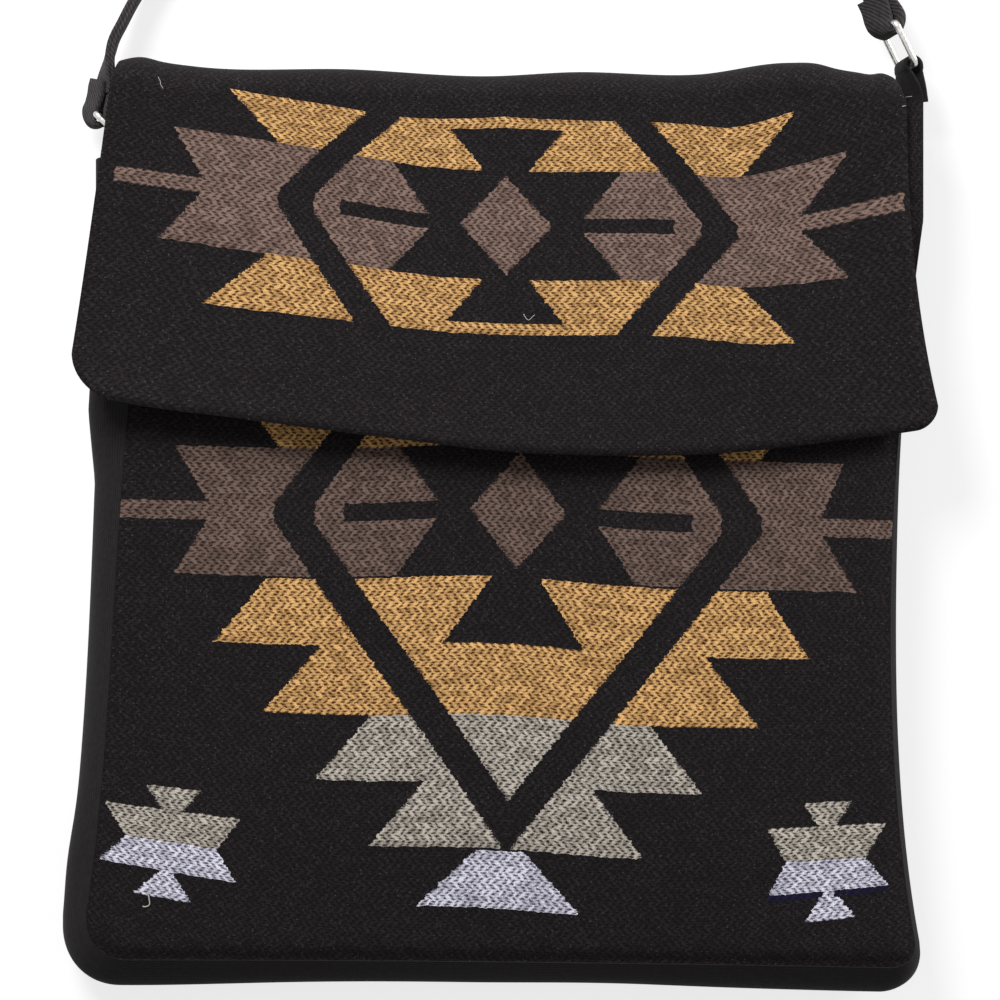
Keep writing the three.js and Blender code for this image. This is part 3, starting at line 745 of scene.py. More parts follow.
fold_top = drawn_line(
    [(-127, 152.2), (-121, 153.4), (-114, 154.4), (-107, 152.8), (-97, 151.4), (-46, 150.4), (-2, 148.2)]
    + [(25, 149.5), (66, 148.8), (94, 152.5), (104, 152.2), (110, 150.6), (117, 149.4), (121, 148.8)]
    + [(124.5, 149.2), (129, 147.8)]
)
flap_edge = drawn_line(
    [(-136, 46.8), (-117, 42.6), (-78, 37), (-30, 30.8), (2, 27), (40, 25.6), (66, 26), (90, 28)]
    + [(114, 31), (130, 32.9), (142, 34.8)]
)
band_line = drawn_line(
    [(-123, 116.5), (-92, 112), (-49, 105.2), (-21, 100.6), (3.5, 99.2), (57, 98.7), (79, 97.2)]
    + [(98, 100), (130, 107)]
)
print("fold top at the middle", round(fold_top(0), 1), "flap's edge there", round(flap_edge(0), 1))

# %% Shape of the back and flap
SHOULDER_ROWS = 1
FOLD_ROWS = 8
FLAP_ROWS = 14
FOLD_REACH = 9
FOLD_WIDTH = 240
FLAP_LEFT = (126.2, 11.8, 1.0)
FLAP_RIGHT = (129.3, 9.8, 2.2)
FLAP_SHIFT = 2.7
FLAP_CORNERS = (12, 7)
FLAP_LIFTS = (8.5, 2.6)
FLAP_STACK = 2.9
FLAP_DROOP = 0.05
# The flap's waves: their height, length and seed. They are full a third of the way down.
FLAP_WAVE = (1.2, 55, 5.5)
WAVE_ONSET = 3
HEM_WIDTH = 3
HEM_DROP = 1.3


def flap_face(x, y):
    """Height of the flap's outer face, lying over the front, before its edge lifts."""
    lean = lean_at(y - LEAN_UP / 2, 1)
    flat = (x - lean[0], y - lean[1])
    rise = rise_at(flat[1])
    past = max(abs(flat[0] - outline_middle(rise)) - outline_half(rise), 0)
    return front_height(*flat) + FLAP_STACK - FLAP_DROOP * past


def flap_half(u, turn, straight):
    """Half width on u's side of the middle. The left side flares evenly, the right side late."""
    top, flare, power = FLAP_LEFT if u < 0 else FLAP_RIGHT
    return lerp(FOLD_WIDTH / 2, top, turn) + flare * straight**power


def mantle_point(u, row, depth, seam_inset, hem):
    """A point of the back and flap. depth 0 is the outer face; the rows run up the back and over."""
    if row <= PANEL_ROWS:
        x, y = panel_point(u, row, seam_inset, 0)
        return x, y, depth
    if row < PANEL_ROWS + SHOULDER_ROWS:
        low = mantle_point(u, PANEL_ROWS, depth, seam_inset, hem)
        high = mantle_point(u, PANEL_ROWS + SHOULDER_ROWS, depth, seam_inset, hem)
        return tuple(lerp(a, b, row - PANEL_ROWS) for a, b in zip(low, high))
    turn = clamp((row - PANEL_ROWS - SHOULDER_ROWS) / FOLD_ROWS)
    fall = max(row - PANEL_ROWS - SHOULDER_ROWS - FOLD_ROWS, 0) / FLAP_ROWS
    bend = math.pi * (turn - 0.5)
    corner_turn = clamp(1 - (1 - fall) * FLAP_ROWS / CORNER_ROWS) * math.pi / 2
    straight = clamp(fall / (1 - CORNER_ROWS / FLAP_ROWS))
    corner = lerp(*FLAP_CORNERS, (1 + u) / 2)
    half = flap_half(u, turn, straight) - corner * (1 - math.cos(corner_turn))
    x = FLAP_SHIFT + u * (half - hem)
    fold = fold_top(x) - FOLD_REACH
    edge = flap_edge(x)
    run = lerp(fold, edge + corner, straight) - (corner - hem) * math.sin(corner_turn)
    y = run + (FOLD_REACH - depth) * math.cos(bend)
    lift = lerp(*FLAP_LIFTS, (1 + u) / 2) * ((fold - run) / (fold - edge)) ** 4
    high, length, seed = FLAP_WAVE
    lift += (0.5 + 0.5 * soft_wave(x, run, length, seed)) * high * clamp(fall * WAVE_ONSET)
    face = flap_face(x, run) + lift
    border = min((1 - abs(u)) * half, run - edge) if fall > 0 else (1 - abs(u)) * half
    drop = HEM_DROP * clamp(1 - border / HEM_WIDTH) ** 2 if turn > 0.5 and hem == 0 else 0
    z = face / 2 + (face / 2 - depth) * math.sin(bend) - drop
    return x, y, z


# %% The flap's weave
FLAP_FIGURE_X = 3.5
FLAP_SCALE = (0.95, 0.84)
# Near the sides the figure is stretched, and the right side fans out
SIDE_START = 75
SIDE_STRETCH = 0.14
RIGHT_FAN = 0.004
# The left side has dropped and flares
LEFT_DROP = 0.2
LEFT_REACH = 40
LEFT_FLARE_LOW = 0.0014
LEFT_FLARE_HIGH = 0.0007
LOW_LEFT_STRETCH = 0.08
LOW_LEFT_START = 30
LOW_LEFT_RUN = 60
# The right side is wider, and its star is nipped in
RIGHT_STRETCH = 1.015
RIGHT_DROP = 0.1
RIGHT_NIP = 4.5
NIP_START = 80
NIP_END = 118
NIP_RISE = 15
NIP_FALL = 10


def flap_weave(x, y):
    """Place in the flap's weave of a place in plan. The rows follow the drawn line of the band."""
    across = (x - FLAP_FIGURE_X) / FLAP_SCALE[0]
    along = (y - band_line(x)) / FLAP_SCALE[1]
    fan = RIGHT_FAN * max(across - SIDE_START, 0)
    along = along / (1 + fan) + LEFT_DROP * max(along - BAND, 0) * clamp(-across / LEFT_REACH)
    across -= math.copysign(SIDE_STRETCH * max(abs(across) - SIDE_START, 0), across)
    if across > 0:
        nip = RIGHT_NIP * max(1 - abs(along) / BAND, 0) * clamp((across - NIP_START) / NIP_RISE)
        nip *= clamp((NIP_END - across) / NIP_FALL)
        along += RIGHT_DROP * max(along - BAND, 0) * clamp(across / LEFT_REACH)
        return across / RIGHT_STRETCH + nip, along
    if along < 0:
        along /= 1 + LOW_LEFT_STRETCH * clamp((-across - LOW_LEFT_START) / LOW_LEFT_RUN)
    return across / (1 - (LEFT_FLARE_LOW if along < 0 else LEFT_FLARE_HIGH) * along), along


# %% Lay the back and flap
MANTLE_COLUMNS = 176
MANTLE_RUNS = [(0, 16, 60), (16, 17, 3), (17, 25, 26), (25, 39, 92)]
FOLD_ROW = PANEL_ROWS + SHOULDER_ROWS + FOLD_ROWS


def stations(runs):
    """Rows of a grid: each run goes from one row to another in a number of steps."""
    rows = [float(runs[0][0])]
    for start, end, steps in runs:
        rows += [lerp(start, end, step / steps) for step in range(1, steps + 1)]
    return rows


mantle_rows = stations(MANTLE_RUNS)


def mantle_place(i, j):
    u = 1 - 2 * i / MANTLE_COLUMNS
    x, y, z = mantle_point(u, mantle_rows[j], 0, 0, 0)
    if mantle_rows[j] >= FOLD_ROW and in_figure(FLAP_FIGURE, *flap_weave(x, y)):
        z += RELIEF
    return x, y, z


def mantle_weave(i, j):
    """On the flap the weave is read in plan. From the fold on it goes by distance, up and round."""
    u = 1 - 2 * i / MANTLE_COLUMNS
    if mantle_rows[j] >= FOLD_ROW:
        return flap_weave(*mantle_point(u, mantle_rows[j], 0, 0, 0)[:2])
    key = (i, j)
    if key not in mantle_weaves:
        here = Vector(mantle_point(u, mantle_rows[j], 0, 0, 0))
        ahead = Vector(mantle_point(u, mantle_rows[j + 1], 0, 0, 0))
        step = (ahead - here).length / FLAP_SCALE[1]
        along = mantle_weave(i, j + 1)[1] + step
        mantle_weaves[key] = ((here.x - FLAP_FIGURE_X) / FLAP_SCALE[0], along)
    return mantle_weaves[key]


mantle_weaves = {}
mantle = laid_grid("back_and_flap_cloth", MANTLE_COLUMNS, len(mantle_rows) - 1, mantle_place, mantle_weave)
give_thickness(mantle, CLOTH)
print(mantle.name, len(mantle.data.polygons), "faces")

# %% [markdown]
# ## The side strip
# A plain strip runs down one side, along the base and up the other. It swells outwards between its
# two seams, and it shows best on the left, where the front leans away from it.

# %% Shape of the side strip
GUSSET_BULGE = 4.8
BASE_BULGE = 7
# The low left side has a hip, and the middle of the base a hollow
HIP = 1.3
HIP_PLACE = -106
HIP_REACH = 16
BASE_HOLLOW = 1.6
# How far the left side flares out, and from what height to what height
LEFT_FLARES = [(3.4, 18, 40), (1.8, 60, 110)]
# The strip's waves: their height, steps along it, length and seed
GUSSET_WAVE = (0.5, 2.2, 9, 6.2)
BASE_COLUMNS = 18


def wrap_point(step, inset):
    """The outline as the strip follows it: down the left, along the base, up the right."""
    if step <= PANEL_ROWS:
        return seam_point(-1, PANEL_ROWS - step, inset)
    if step <= PANEL_ROWS + BASE_COLUMNS:
        return seam_point(-1 + 2 * (step - PANEL_ROWS) / BASE_COLUMNS, 0, inset)
    return seam_point(1, step - PANEL_ROWS - BASE_COLUMNS, inset)


def gusset_point(step, z, inset):
    share = clamp((z - CLOTH - GAP) / GUSSET_DEPTH)
    x, y = wrap_point(step, 0)
    before = wrap_point(max(step - 0.5, 0), 0)
    after = wrap_point(min(step + 0.5, 2 * PANEL_ROWS + BASE_COLUMNS), 0)
    along = Vector((after[0] - before[0], after[1] - before[1])).normalized()
    lean = lean_at(y, share)
    out = Vector((along.y, -along.x))
    place = clamp((step - PANEL_ROWS) / BASE_COLUMNS) * 2 - 1
    base = BASE_BULGE - BASE_HOLLOW * (1 - place**2) ** 2
    flare = sum(out_by * clamp((y - start) / (end - start)) for out_by, start, end in LEFT_FLARES)
    hip = HIP * math.exp(-(((y - HIP_PLACE) / HIP_REACH) ** 2))
    bulge = lerp(GUSSET_BULGE, base, max(-out.y, 0)) + (flare + hip) * max(-out.x, 0)
    high, pace, length, seed = GUSSET_WAVE
    bulge += high * soft_wave(step * pace, z, length, seed)
    swell = bulge * math.sin(math.pi * share) - inset
    return x + lean[0] + out.x * swell, y + lean[1] + out.y * swell, z


# %% Lay the side strip
GUSSET_RUNS = [(0, 16, 96), (16, 34, 90), (34, 50, 96)]
GUSSET_RISE = 16
gusset_steps = stations(GUSSET_RUNS)
gusset_low = CLOTH + GAP
gusset_high = FRONT_Z - GAP
wrap_lengths = route_lengths([Vector(wrap_point(step, 0)) for step in gusset_steps])


def gusset_place(i, j):
    return gusset_point(gusset_steps[i], lerp(gusset_low, gusset_high, j / GUSSET_RISE), 0)


gusset = laid_grid(
    "gusset_cloth",
    len(gusset_steps) - 1,
    GUSSET_RISE,
    gusset_place,
    lambda i, j: (wrap_lengths[i], GUSSET_DEPTH * j / GUSSET_RISE),
)
give_thickness(gusset, CLOTH)
print(gusset.name, "strip", round(wrap_lengths[-1]), "mm long")

# %% [markdown]
# ## The lining
# A thin plain cloth backs every panel. It shows only under the flap's edge and inside the mouth, so
# it needs few faces, but it has to follow the outer cloth closely to stay inside it.

# %% Linings
LINING = 0.5
SEAM_INSET = CLOTH + GAP
FLAP_HEM = 3
LINING_COLUMNS = 72
LINING_ROWS = 72
LINING_RUNS = [(0, 16, 36), (16, 17, 3), (17, 25, 18), (25, 39, 44)]
LINING_RISE = 8
LINING_CELL = (3.5, 10)
lining_rows = stations(LINING_RUNS)
lining_low = gusset_low + LINING + GAP
lining_high = gusset_high - LINING - GAP


def front_lining_place(i, j):
    u = 2 * i / LINING_COLUMNS - 1
    row = j * PANEL_ROWS / LINING_ROWS
    flat = seam_point(u, row, SEAM_INSET)
    x, y = panel_point(u, row, SEAM_INSET, 1)
    edge = seam_distance(*flat)
    return x, y, front_height(*flat) - CLOTH - GAP - SEAM_ROLL * math.exp(-((edge / SEAM_SOFT) ** 2))


def mantle_lining_place(i, j):
    u = 1 - 2 * i / LINING_COLUMNS
    return mantle_point(u, lining_rows[j], CLOTH + GAP, SEAM_INSET, FLAP_HEM)


def gusset_lining_place(i, j):
    return gusset_point(gusset_steps[i], lerp(lining_low, lining_high, j / LINING_RISE), SEAM_INSET)


front_lining = laid_grid(
    "front_lining_cloth",
    LINING_COLUMNS,
    LINING_ROWS,
    front_lining_place,
    lambda i, j: front_lining_place(i, j)[:2],
)
give_thickness(front_lining, LINING)
mantle_lining = laid_grid(
    "back_and_flap_lining_cloth",
    LINING_COLUMNS,
    len(lining_rows) - 1,
    mantle_lining_place,
    lambda i, j: (LINING_CELL[0] * i, LINING_CELL[1] * lining_rows[j]),
)
give_thickness(mantle_lining, LINING)
gusset_lining = laid_grid(
    "gusset_lining_cloth",
    len(gusset_steps) - 1,
    LINING_RISE,
    gusset_lining_place,
    lambda i, j: (wrap_lengths[i], GUSSET_DEPTH * j / LINING_RISE),
)
give_thickness(gusset_lining, LINING)
print("linings:", [len(o.data.polygons) for o in (front_lining, mantle_lining, gusset_lining)])

# %% [markdown]
# ## Node helpers
# Every finish below is a small net of nodes. A few helpers keep the nets readable: each adds a node,
# a sum, a product, a noise, a ramp or a mix of two colours. Colours are written as they look on a
# screen, from 0 to 255, and turned into the light values that the shader wants.

# %% A net of nodes
SCREEN_TOE = 0.04


def light(red, green, blue):
    """A screen colour as light values. Below the toe the screen's curve is a straight line."""
    shares = [value / 255 for value in (red, green, blue)]
    return (*(((s + 0.055) / 1.055) ** 2.4 if s > SCREEN_TOE else s / 12.92 for s in shares), 1)


class Net:
    """A material's nodes, with short ways to add to them."""

    def __init__(self, tree):
        self.tree = tree

    def add(self, kind, inputs=None, **settings):
        made = self.tree.nodes.new(kind)
        for name, value in settings.items():
            setattr(made, name, value)
        for socket, value in (inputs or {}).items():
            self.set(made.inputs[socket], value)
        return made

    def set(self, socket, value):
        if isinstance(value, bpy.types.NodeSocket):
            self.tree.links.new(value, socket)
        else:
            socket.default_value = value

    def sum(self, operation, *values):
        return self.add("ShaderNodeMath", dict(enumerate(values)), operation=operation).outputs[0]

    def product(self, first, *others):
        for value in others:
            first = self.sum("MULTIPLY", first, value)
        return first

    def parts(self, vector):
        return self.add("ShaderNodeSeparateXYZ", {0: vector}).outputs

    def noise(self, where, scale, detail=2.0, roughness=0.5, flat=True):
        inputs = {"Vector": where, "Scale": scale, "Detail": detail, "Roughness": roughness}
        kind = "2D" if flat else "3D"
        return self.add("ShaderNodeTexNoise", inputs, noise_dimensions=kind).outputs

    def blend(self, share, first, second):
        made = self.add("ShaderNodeMix", data_type="RGBA")
        for socket, value in zip((made.inputs[0], made.inputs[6], made.inputs[7]), (share, first, second)):
            self.set(socket, value)
        return made.outputs[2]

    def ramp(self, value, low, high, to_low=0.0, to_high=1.0, smooth=False):
        kind = "SMOOTHSTEP" if smooth else "LINEAR"
        inputs = {0: value, 1: low, 2: high, 3: to_low, 4: to_high}
        return self.add("ShaderNodeMapRange", inputs, interpolation_type=kind).outputs[0]


# %% New finishes
def new_finish(name, roughness, metallic=0.0, specular=0.2):
    """A material with its shader's plain values set, and its net."""
    material = bpy.data.materials.new(name)
    material.use_nodes = True
    net = Net(material.node_tree)
    shader = material.node_tree.nodes["Principled BSDF"]
    shader.inputs["Roughness"].default_value = roughness
    shader.inputs["Metallic"].default_value = metallic
    shader.inputs["Specular IOR Level"].default_value = specular
    return material, net, shader


def raise_threads(net, shader, height, strength, distance):
    bump = net.add("ShaderNodeBump", {"Height": height, "Strength": strength, "Distance": distance * MM})
    net.set(shader.inputs["Normal"], bump.outputs[0])


# %% [markdown]
# ## The woven cloth
# The cloth is woven in rows. In each row the coloured weft floats in short slanting strokes, and the
# slant turns over from row to row. The strokes touch, and a small hole is left at both ends of each
# gap between them. The holes are painted dark as shade, and each stroke's crown is painted light as a
# highlight. The net first finds the row and the stroke that a point lies on, and only then asks which
# field of the figure its thread is in, so that the figure's edges step from thread to thread.

# %% A field as a node group
def make_field_group():
    group = bpy.data.node_groups.new("woven_field", "ShaderNodeTree")
    names = ["across", "along", "low", "high", "inner low", "outer low", "inner high", "outer high"]
    for name in names:
        group.interface.new_socket(name, in_out="INPUT", socket_type="NodeSocketFloat")
    group.interface.new_socket("inside", in_out="OUTPUT", socket_type="NodeSocketFloat")
    net = Net(group)
    given = net.add("NodeGroupInput").outputs
    across, along, low, high = given[0], given[1], given[2], given[3]
    edges = []
    for at_low, at_high in ((given[4], given[6]), (given[5], given[7])):
        spots = {0: along, 1: low, 2: high, 3: at_low, 4: at_high}
        edges.append(net.add("ShaderNodeMapRange", spots, clamp=False).outputs[0])
    above = net.sum("GREATER_THAN", along, low)
    below = net.sum("LESS_THAN", along, high)
    beyond = net.sum("GREATER_THAN", across, edges[0])
    within = net.sum("LESS_THAN", across, edges[1])
    net.add("NodeGroupOutput", {0: net.product(above, below, beyond, within)})
    return group


field_nodes = make_field_group()
print("a field takes", len(field_nodes.nodes), "nodes")

# %% The yarns
# Each yarn where it floats on top, and its painted shade in the holes beside it. The front's taupe is
# darker than the flap's, as painted shade from the flap's edge above it; the flap's gold is a little darker.
YARNS = {
    # Taupe darkened as painted shade from the flap's edge above the front
    "taupe": (light(117, 97, 89), light(38, 27, 22)),
    "gold": (light(227, 179, 116), light(60, 22, 0)),
    "beige": (light(198, 189, 177), light(28, 23, 19)),
    "lavender": (light(231, 229, 244), light(60, 58, 74)),
    "navy": (light(32, 27, 54), light(16, 13, 28)),
}
# The flap's yarns: a lighter taupe than the front's shaded one, and a slightly darker gold
FLAP_YARNS = {
    **YARNS,
    "taupe": (light(130, 108, 99), light(46, 33, 28)),
    "gold": (light(213, 168, 109), light(58, 21, 0)),
}
# The ground in its dark and its dusty places, and the painted shade in its holes
GROUND = (light(22, 19, 21), light(49, 44, 45))
GROUND_HOLE_SHADE = light(15, 12, 14)
LINT = light(110, 106, 110)
print("yarns:", list(YARNS))


# %% Where a thread lies in the figure
def figure_sockets(net, kind, across, along):
    """The net's form of figure_place."""
    if "corner" in kind:
        right = net.sum("GREATER_THAN", across, 0.0)
        middle = net.ramp(right, 0.0, 1.0, *CORNER_HEIGHTS)
        height = net.sum("DIVIDE", net.sum("SUBTRACT", along, middle), CORNER_STRETCH)
        depth = net.sum("MAXIMUM", net.sum("MULTIPLY", height, -1.0), 0.0)
        reach = net.sum("MULTIPLY_ADD", depth, CORNER_SPREAD, CORNER_REACH)
        shifted = net.sum("SUBTRACT", across, CORNER_SHIFT)
        if kind == "corner":
            shifted = net.sum("ABSOLUTE", shifted)
        off = net.sum("ABSOLUTE", net.sum("SUBTRACT", shifted, reach))
        return net.sum("MULTIPLY", off, net.ramp(right, 0.0, 1.0, 1.0, CORNER_RIGHT_SCALE)), height
    if kind == "foot":
        across = net.sum("SUBTRACT", across, FOOT_SHIFT)
    if kind == "mirrored":
        along = net.sum("ABSOLUTE", along)
    return net.sum("ABSOLUTE", across), along


def figure_masks(net, figure, across, along):
    """For each yarn, 1 where a thread lies in one of its fields."""
    masks = {}
    for fields, kind in figure:
        side, height = figure_sockets(net, kind, across, along)
        for yarn, strips in fields.items():
            for strip in strips:
                made = net.add("ShaderNodeGroup", node_tree=field_nodes)
                for socket, value in zip(made.inputs, (side, height, *strip)):
                    net.set(socket, value)
                mask = made.outputs[0]
                masks[yarn] = net.sum("MAXIMUM", masks[yarn], mask) if yarn in masks else mask
    return masks


# %% Rows, strokes and holes
DASH = 2.55
SLANT = 0.75
THREAD = 0.42
# Two sizes of unevenness: how fine each is, and how far it moves threads across and along
UNEVEN = [(0.33, 0.8, 0.5), (1.0, 0.4, 0.3)]
# How narrow and tall the holes are and how dark their painted shade is, the tone between strokes, and how
# narrow the strokes' painted highlight is and how much it fades
HOLE_NARROW = 2.6
HOLE_TALL = 1.1
HOLE_SHADE_DEPTH = 1.0
FLAT_TONE = 0.68
STROKE_NARROW = 1.5
STROKE_FADE = 0.6
ROW_DRIFT = 0.14
# How much of the unevenness, the slant and the height in a row the figure's edges follow
EDGE_UNEVEN = 0.3
EDGE_SLANT = 0.4
EDGE_RISE = 0.6


def weave_map(net):
    """The weave map, and a point's places across and along it."""
    threads = net.add("ShaderNodeUVMap", uv_map="Weave").outputs[0]
    places = net.parts(threads)
    return threads, places[0], places[1]


def weave_places(net, row_height):
    """The row, stroke and thread that a point lies on, and its tone of painted highlight and shade."""
    threads, u, v = weave_map(net)
    straight = u
    for fineness, sideways, upwards in UNEVEN:
        shifts = net.parts(net.noise(threads, fineness)["Color"])
        u = net.sum("ADD", u, net.ramp(shifts[0], 0.0, 1.0, -sideways, sideways))
        v = net.sum("ADD", v, net.ramp(shifts[1], 0.0, 1.0, -upwards, upwards))

    row = net.sum("FLOOR", net.sum("DIVIDE", v, row_height))
    middle = net.sum("MULTIPLY", net.sum("ADD", row, 0.5), row_height)
    off = net.sum("SUBTRACT", v, middle)
    odd = net.sum("MULTIPLY", net.sum("FRACT", net.sum("MULTIPLY", row, 0.5)), 2.0)
    lean = net.sum("MULTIPLY", off, net.ramp(odd, 0.0, 1.0, SLANT, -SLANT))
    drift = net.add("ShaderNodeTexWhiteNoise", {"W": row}, noise_dimensions="1D").outputs["Value"]
    stagger = net.sum("MULTIPLY_ADD", drift, ROW_DRIFT, net.sum("MULTIPLY", odd, 0.5))
    dash = net.sum("ADD", net.sum("DIVIDE", net.sum("SUBTRACT", u, lean), DASH), stagger)

    gap = net.ramp(net.sum("COSINE", net.sum("MULTIPLY", dash, 2 * math.pi)), -1.0, 1.0)
    ends = net.ramp(net.sum("COSINE", net.sum("MULTIPLY", off, 4 * math.pi / row_height)), 1.0, -1.0)
    # Painted shade in the holes at the ends of each gap, and a painted highlight along each stroke
    hole = net.sum("MULTIPLY", net.sum("POWER", gap, HOLE_NARROW), net.sum("POWER", ends, HOLE_TALL))
    stroke = net.sum("POWER", net.sum("SUBTRACT", 1.0, gap), STROKE_NARROW)
    stroke = net.sum("MULTIPLY", stroke, net.ramp(ends, 0.0, 1.0, 1.0, 1.0 - STROKE_FADE))
    tone = net.ramp(stroke, 0.0, 1.0, FLAT_TONE, 1.0)
    tone = net.sum("MULTIPLY", tone, net.ramp(hole, 0.0, 1.0, 1.0, 1.0 - HOLE_SHADE_DEPTH))

    steady = net.sum("MULTIPLY_ADD", net.sum("SUBTRACT", u, straight), EDGE_UNEVEN, straight)
    near = net.sum("DIVIDE", net.sum("SUBTRACT", steady, net.sum("MULTIPLY", lean, EDGE_SLANT)), THREAD)
    across = net.sum("MULTIPLY", net.sum("ADD", net.sum("FLOOR", near), 0.5), THREAD)
    along = net.sum("MULTIPLY_ADD", off, EDGE_RISE, middle)
    return {
        "threads": threads,
        "row": row,
        "dash": dash,
        "tone": tone,
        "u": u,
        "across": across,
        "along": along,
    }


# %% The woven finish
# How much darker or lighter a stroke, a fibre and a streak of dye can be
STROKE_TONES = (0.85, 1.15)
FIBRE_TONES = (0.82, 1.18)
STREAK_TONES = (0.95, 1.04)
FIBRE_SCALE = 2.4
STREAK_ALONG = 0.03
STREAK_ROWS = 0.9
CONTRAST = 2.1
DUST_SCALE = 1.1
DUST_RANGE = (0.35, 0.7)
LINT_SCALE = 0.5
LINT_RARE = 0.84
LINT_SIZE = 0.11
LINT_SHARE = 0.25
# How strongly the threads' relief shows, and its height
THREAD_RELIEF = (0.25, 0.25)


def woven_finish(name, figure, yarns, row_height):
    """Yarns of the figure over the ground: painted highlight on strokes, painted shade in holes, uneven dye.
    """
    material, net, shader = new_finish(name, roughness=0.9, specular=0.08)
    weave = weave_places(net, row_height)
    masks = figure_masks(net, figure, weave["across"], weave["along"])
    cell = net.add("ShaderNodeCombineXYZ", {0: net.sum("FLOOR", weave["dash"]), 1: weave["row"]})
    chance = net.add("ShaderNodeTexWhiteNoise", {"Vector": cell.outputs[0]}, noise_dimensions="2D")
    fuzz = net.noise(weave["threads"], FIBRE_SCALE, detail=1.0)[0]
    stretched = {0: net.product(weave["u"], STREAK_ALONG), 1: net.product(weave["row"], STREAK_ROWS)}
    streak = net.noise(net.add("ShaderNodeCombineXYZ", stretched).outputs[0], 1.0)[0]
    tone = net.product(
        weave["tone"],
        net.ramp(chance.outputs["Value"], 0.0, 1.0, *STROKE_TONES),
        net.ramp(fuzz, 0.25, 0.75, *FIBRE_TONES),
        net.ramp(streak, 0.3, 0.7, *STREAK_TONES),
    )
    tone = net.sum("POWER", tone, CONTRAST)

    dust = net.noise(weave["threads"], DUST_SCALE, detail=3.0, roughness=0.7)[0]
    top = net.blend(net.ramp(dust, *DUST_RANGE), *GROUND)
    # Painted shade for the holes, in the ground's and each yarn's own dark colour
    shaded_holes = GROUND_HOLE_SHADE
    for yarn, mask in masks.items():
        top = net.blend(mask, top, yarns[yarn][0])
        shaded_holes = net.blend(mask, shaded_holes, yarns[yarn][1])
    colour = net.blend(tone, shaded_holes, top)
    spots = {"Vector": weave["threads"], "Scale": LINT_SCALE}
    lint = net.add("ShaderNodeTexVoronoi", spots, voronoi_dimensions="2D").outputs
    chosen = net.sum("GREATER_THAN", net.parts(lint["Color"])[0], LINT_RARE)
    close = net.sum("LESS_THAN", lint["Distance"], LINT_SIZE)
    fleck = net.product(chosen, close, LINT_SHARE)
    net.set(shader.inputs["Base Color"], net.blend(fleck, colour, LINT))
    shader.inputs["Sheen Weight"].default_value = 0.02
    shader.inputs["Sheen Roughness"].default_value = 0.5
    raise_threads(net, shader, weave["tone"], *THREAD_RELIEF)
    return material


# %% Finish the front and the flap
FRONT_ROW_HEIGHT = 1.94
FLAP_ROW_HEIGHT = 2.08
front_finish = woven_finish("woven_front", FRONT_FIGURE, YARNS, FRONT_ROW_HEIGHT)
flap_finish = woven_finish("woven_flap", FLAP_FIGURE, FLAP_YARNS, FLAP_ROW_HEIGHT)
front.data.materials.append(front_finish)
mantle.data.materials.append(flap_finish)
for finish in (front_finish, flap_finish):
    print(finish.name, len(finish.node_tree.nodes), "nodes")

# %% [markdown]
# ## Plain cloth, tape and lining
# The side strip, the strap and the lining carry no figure. The strip is a close plain cloth, the
# strap a twill tape with slanting ribs, the lining a smooth thin cotton. One net makes all three,
# with its own rib spacing, slant and colours.

# %% Ribbed finishes
CROSS_LEAN = 0.15
CROSS_SPACING = 0.8
FURROW_TONE = 0.35
CROSS_TONE = 0.75
WEAR_SCALE = 0.6
RIB_STRENGTH = 0.5


def ribbed_finish(name, high, low, spacing, slant, height, worn):
    """Ribs across the weave map. slant is their sideways run for each step along, worn their unevenness."""
    material, net, shader = new_finish(name, roughness=0.9, specular=0.12)
    threads, u, v = weave_map(net)
    phase = net.sum("DIVIDE", net.sum("MULTIPLY_ADD", u, slant, v), spacing)
    rib = net.ramp(net.sum("PINGPONG", phase, 0.5), 0.05, 0.45, smooth=True)
    leaning = net.sum("SUBTRACT", u, net.product(v, CROSS_LEAN))
    cross = net.sum("PINGPONG", net.sum("DIVIDE", leaning, CROSS_SPACING), 0.5)
    fuzz = net.noise(threads, WEAR_SCALE, detail=4.0, flat=False)[0]
    tone = net.product(
        net.ramp(rib, 0.0, 1.0, FURROW_TONE, 1.0),
        net.ramp(cross, 0.0, 0.5, CROSS_TONE, 1.0),
        net.ramp(fuzz, 0.3, 0.7, 1.0 - worn, 1.0 + worn),
    )
    net.set(shader.inputs["Base Color"], net.blend(tone, low, high))
    shader.inputs["Sheen Weight"].default_value = 0.05
    raise_threads(net, shader, net.sum("ADD", rib, net.product(cross, 0.5)), RIB_STRENGTH, height)
    return material


# %% Finish the strip, the strap and the linings
gusset_finish = ribbed_finish(
    "gusset_plain", light(33, 30, 32), light(12, 10, 11), spacing=0.7, slant=0.0, height=0.08, worn=0.45
)
strap_finish = ribbed_finish(
    "strap_twill", light(66, 62, 64), light(18, 16, 17), spacing=1.5, slant=0.9, height=0.3, worn=0.4
)
lining_finish = ribbed_finish(
    "lining_cotton", light(50, 46, 48), light(30, 27, 29), spacing=0.5, slant=0.0, height=0.05, worn=0.2
)
for piece in (gusset, *tabs.values()):
    piece.data.materials.append(gusset_finish)
for piece in (*strap_halves.values(), *strap_ends.values()):
    piece.data.materials.append(strap_finish)
for piece in (front_lining, mantle_lining, gusset_lining):
    piece.data.materials.append(lining_finish)
print("ribbed finishes:", gusset_finish.name, strap_finish.name, lining_finish.name)

# %% [markdown]
# ## The nickelled wire
# Dull nickel is a metal with a soft shine. Fine drawing marks and a little cloudiness break the
# reflections up.

# %% Ring metal
NICKEL = (light(176, 174, 170), light(222, 220, 216))
NICKEL_ROUGHNESS = (0.22, 0.42)
CLOUD_SCALE = 900.0
MARK_SCALE = 2600.0
# How strongly the drawing marks show, and their depth
MARK_RELIEF = (0.15, 0.05)

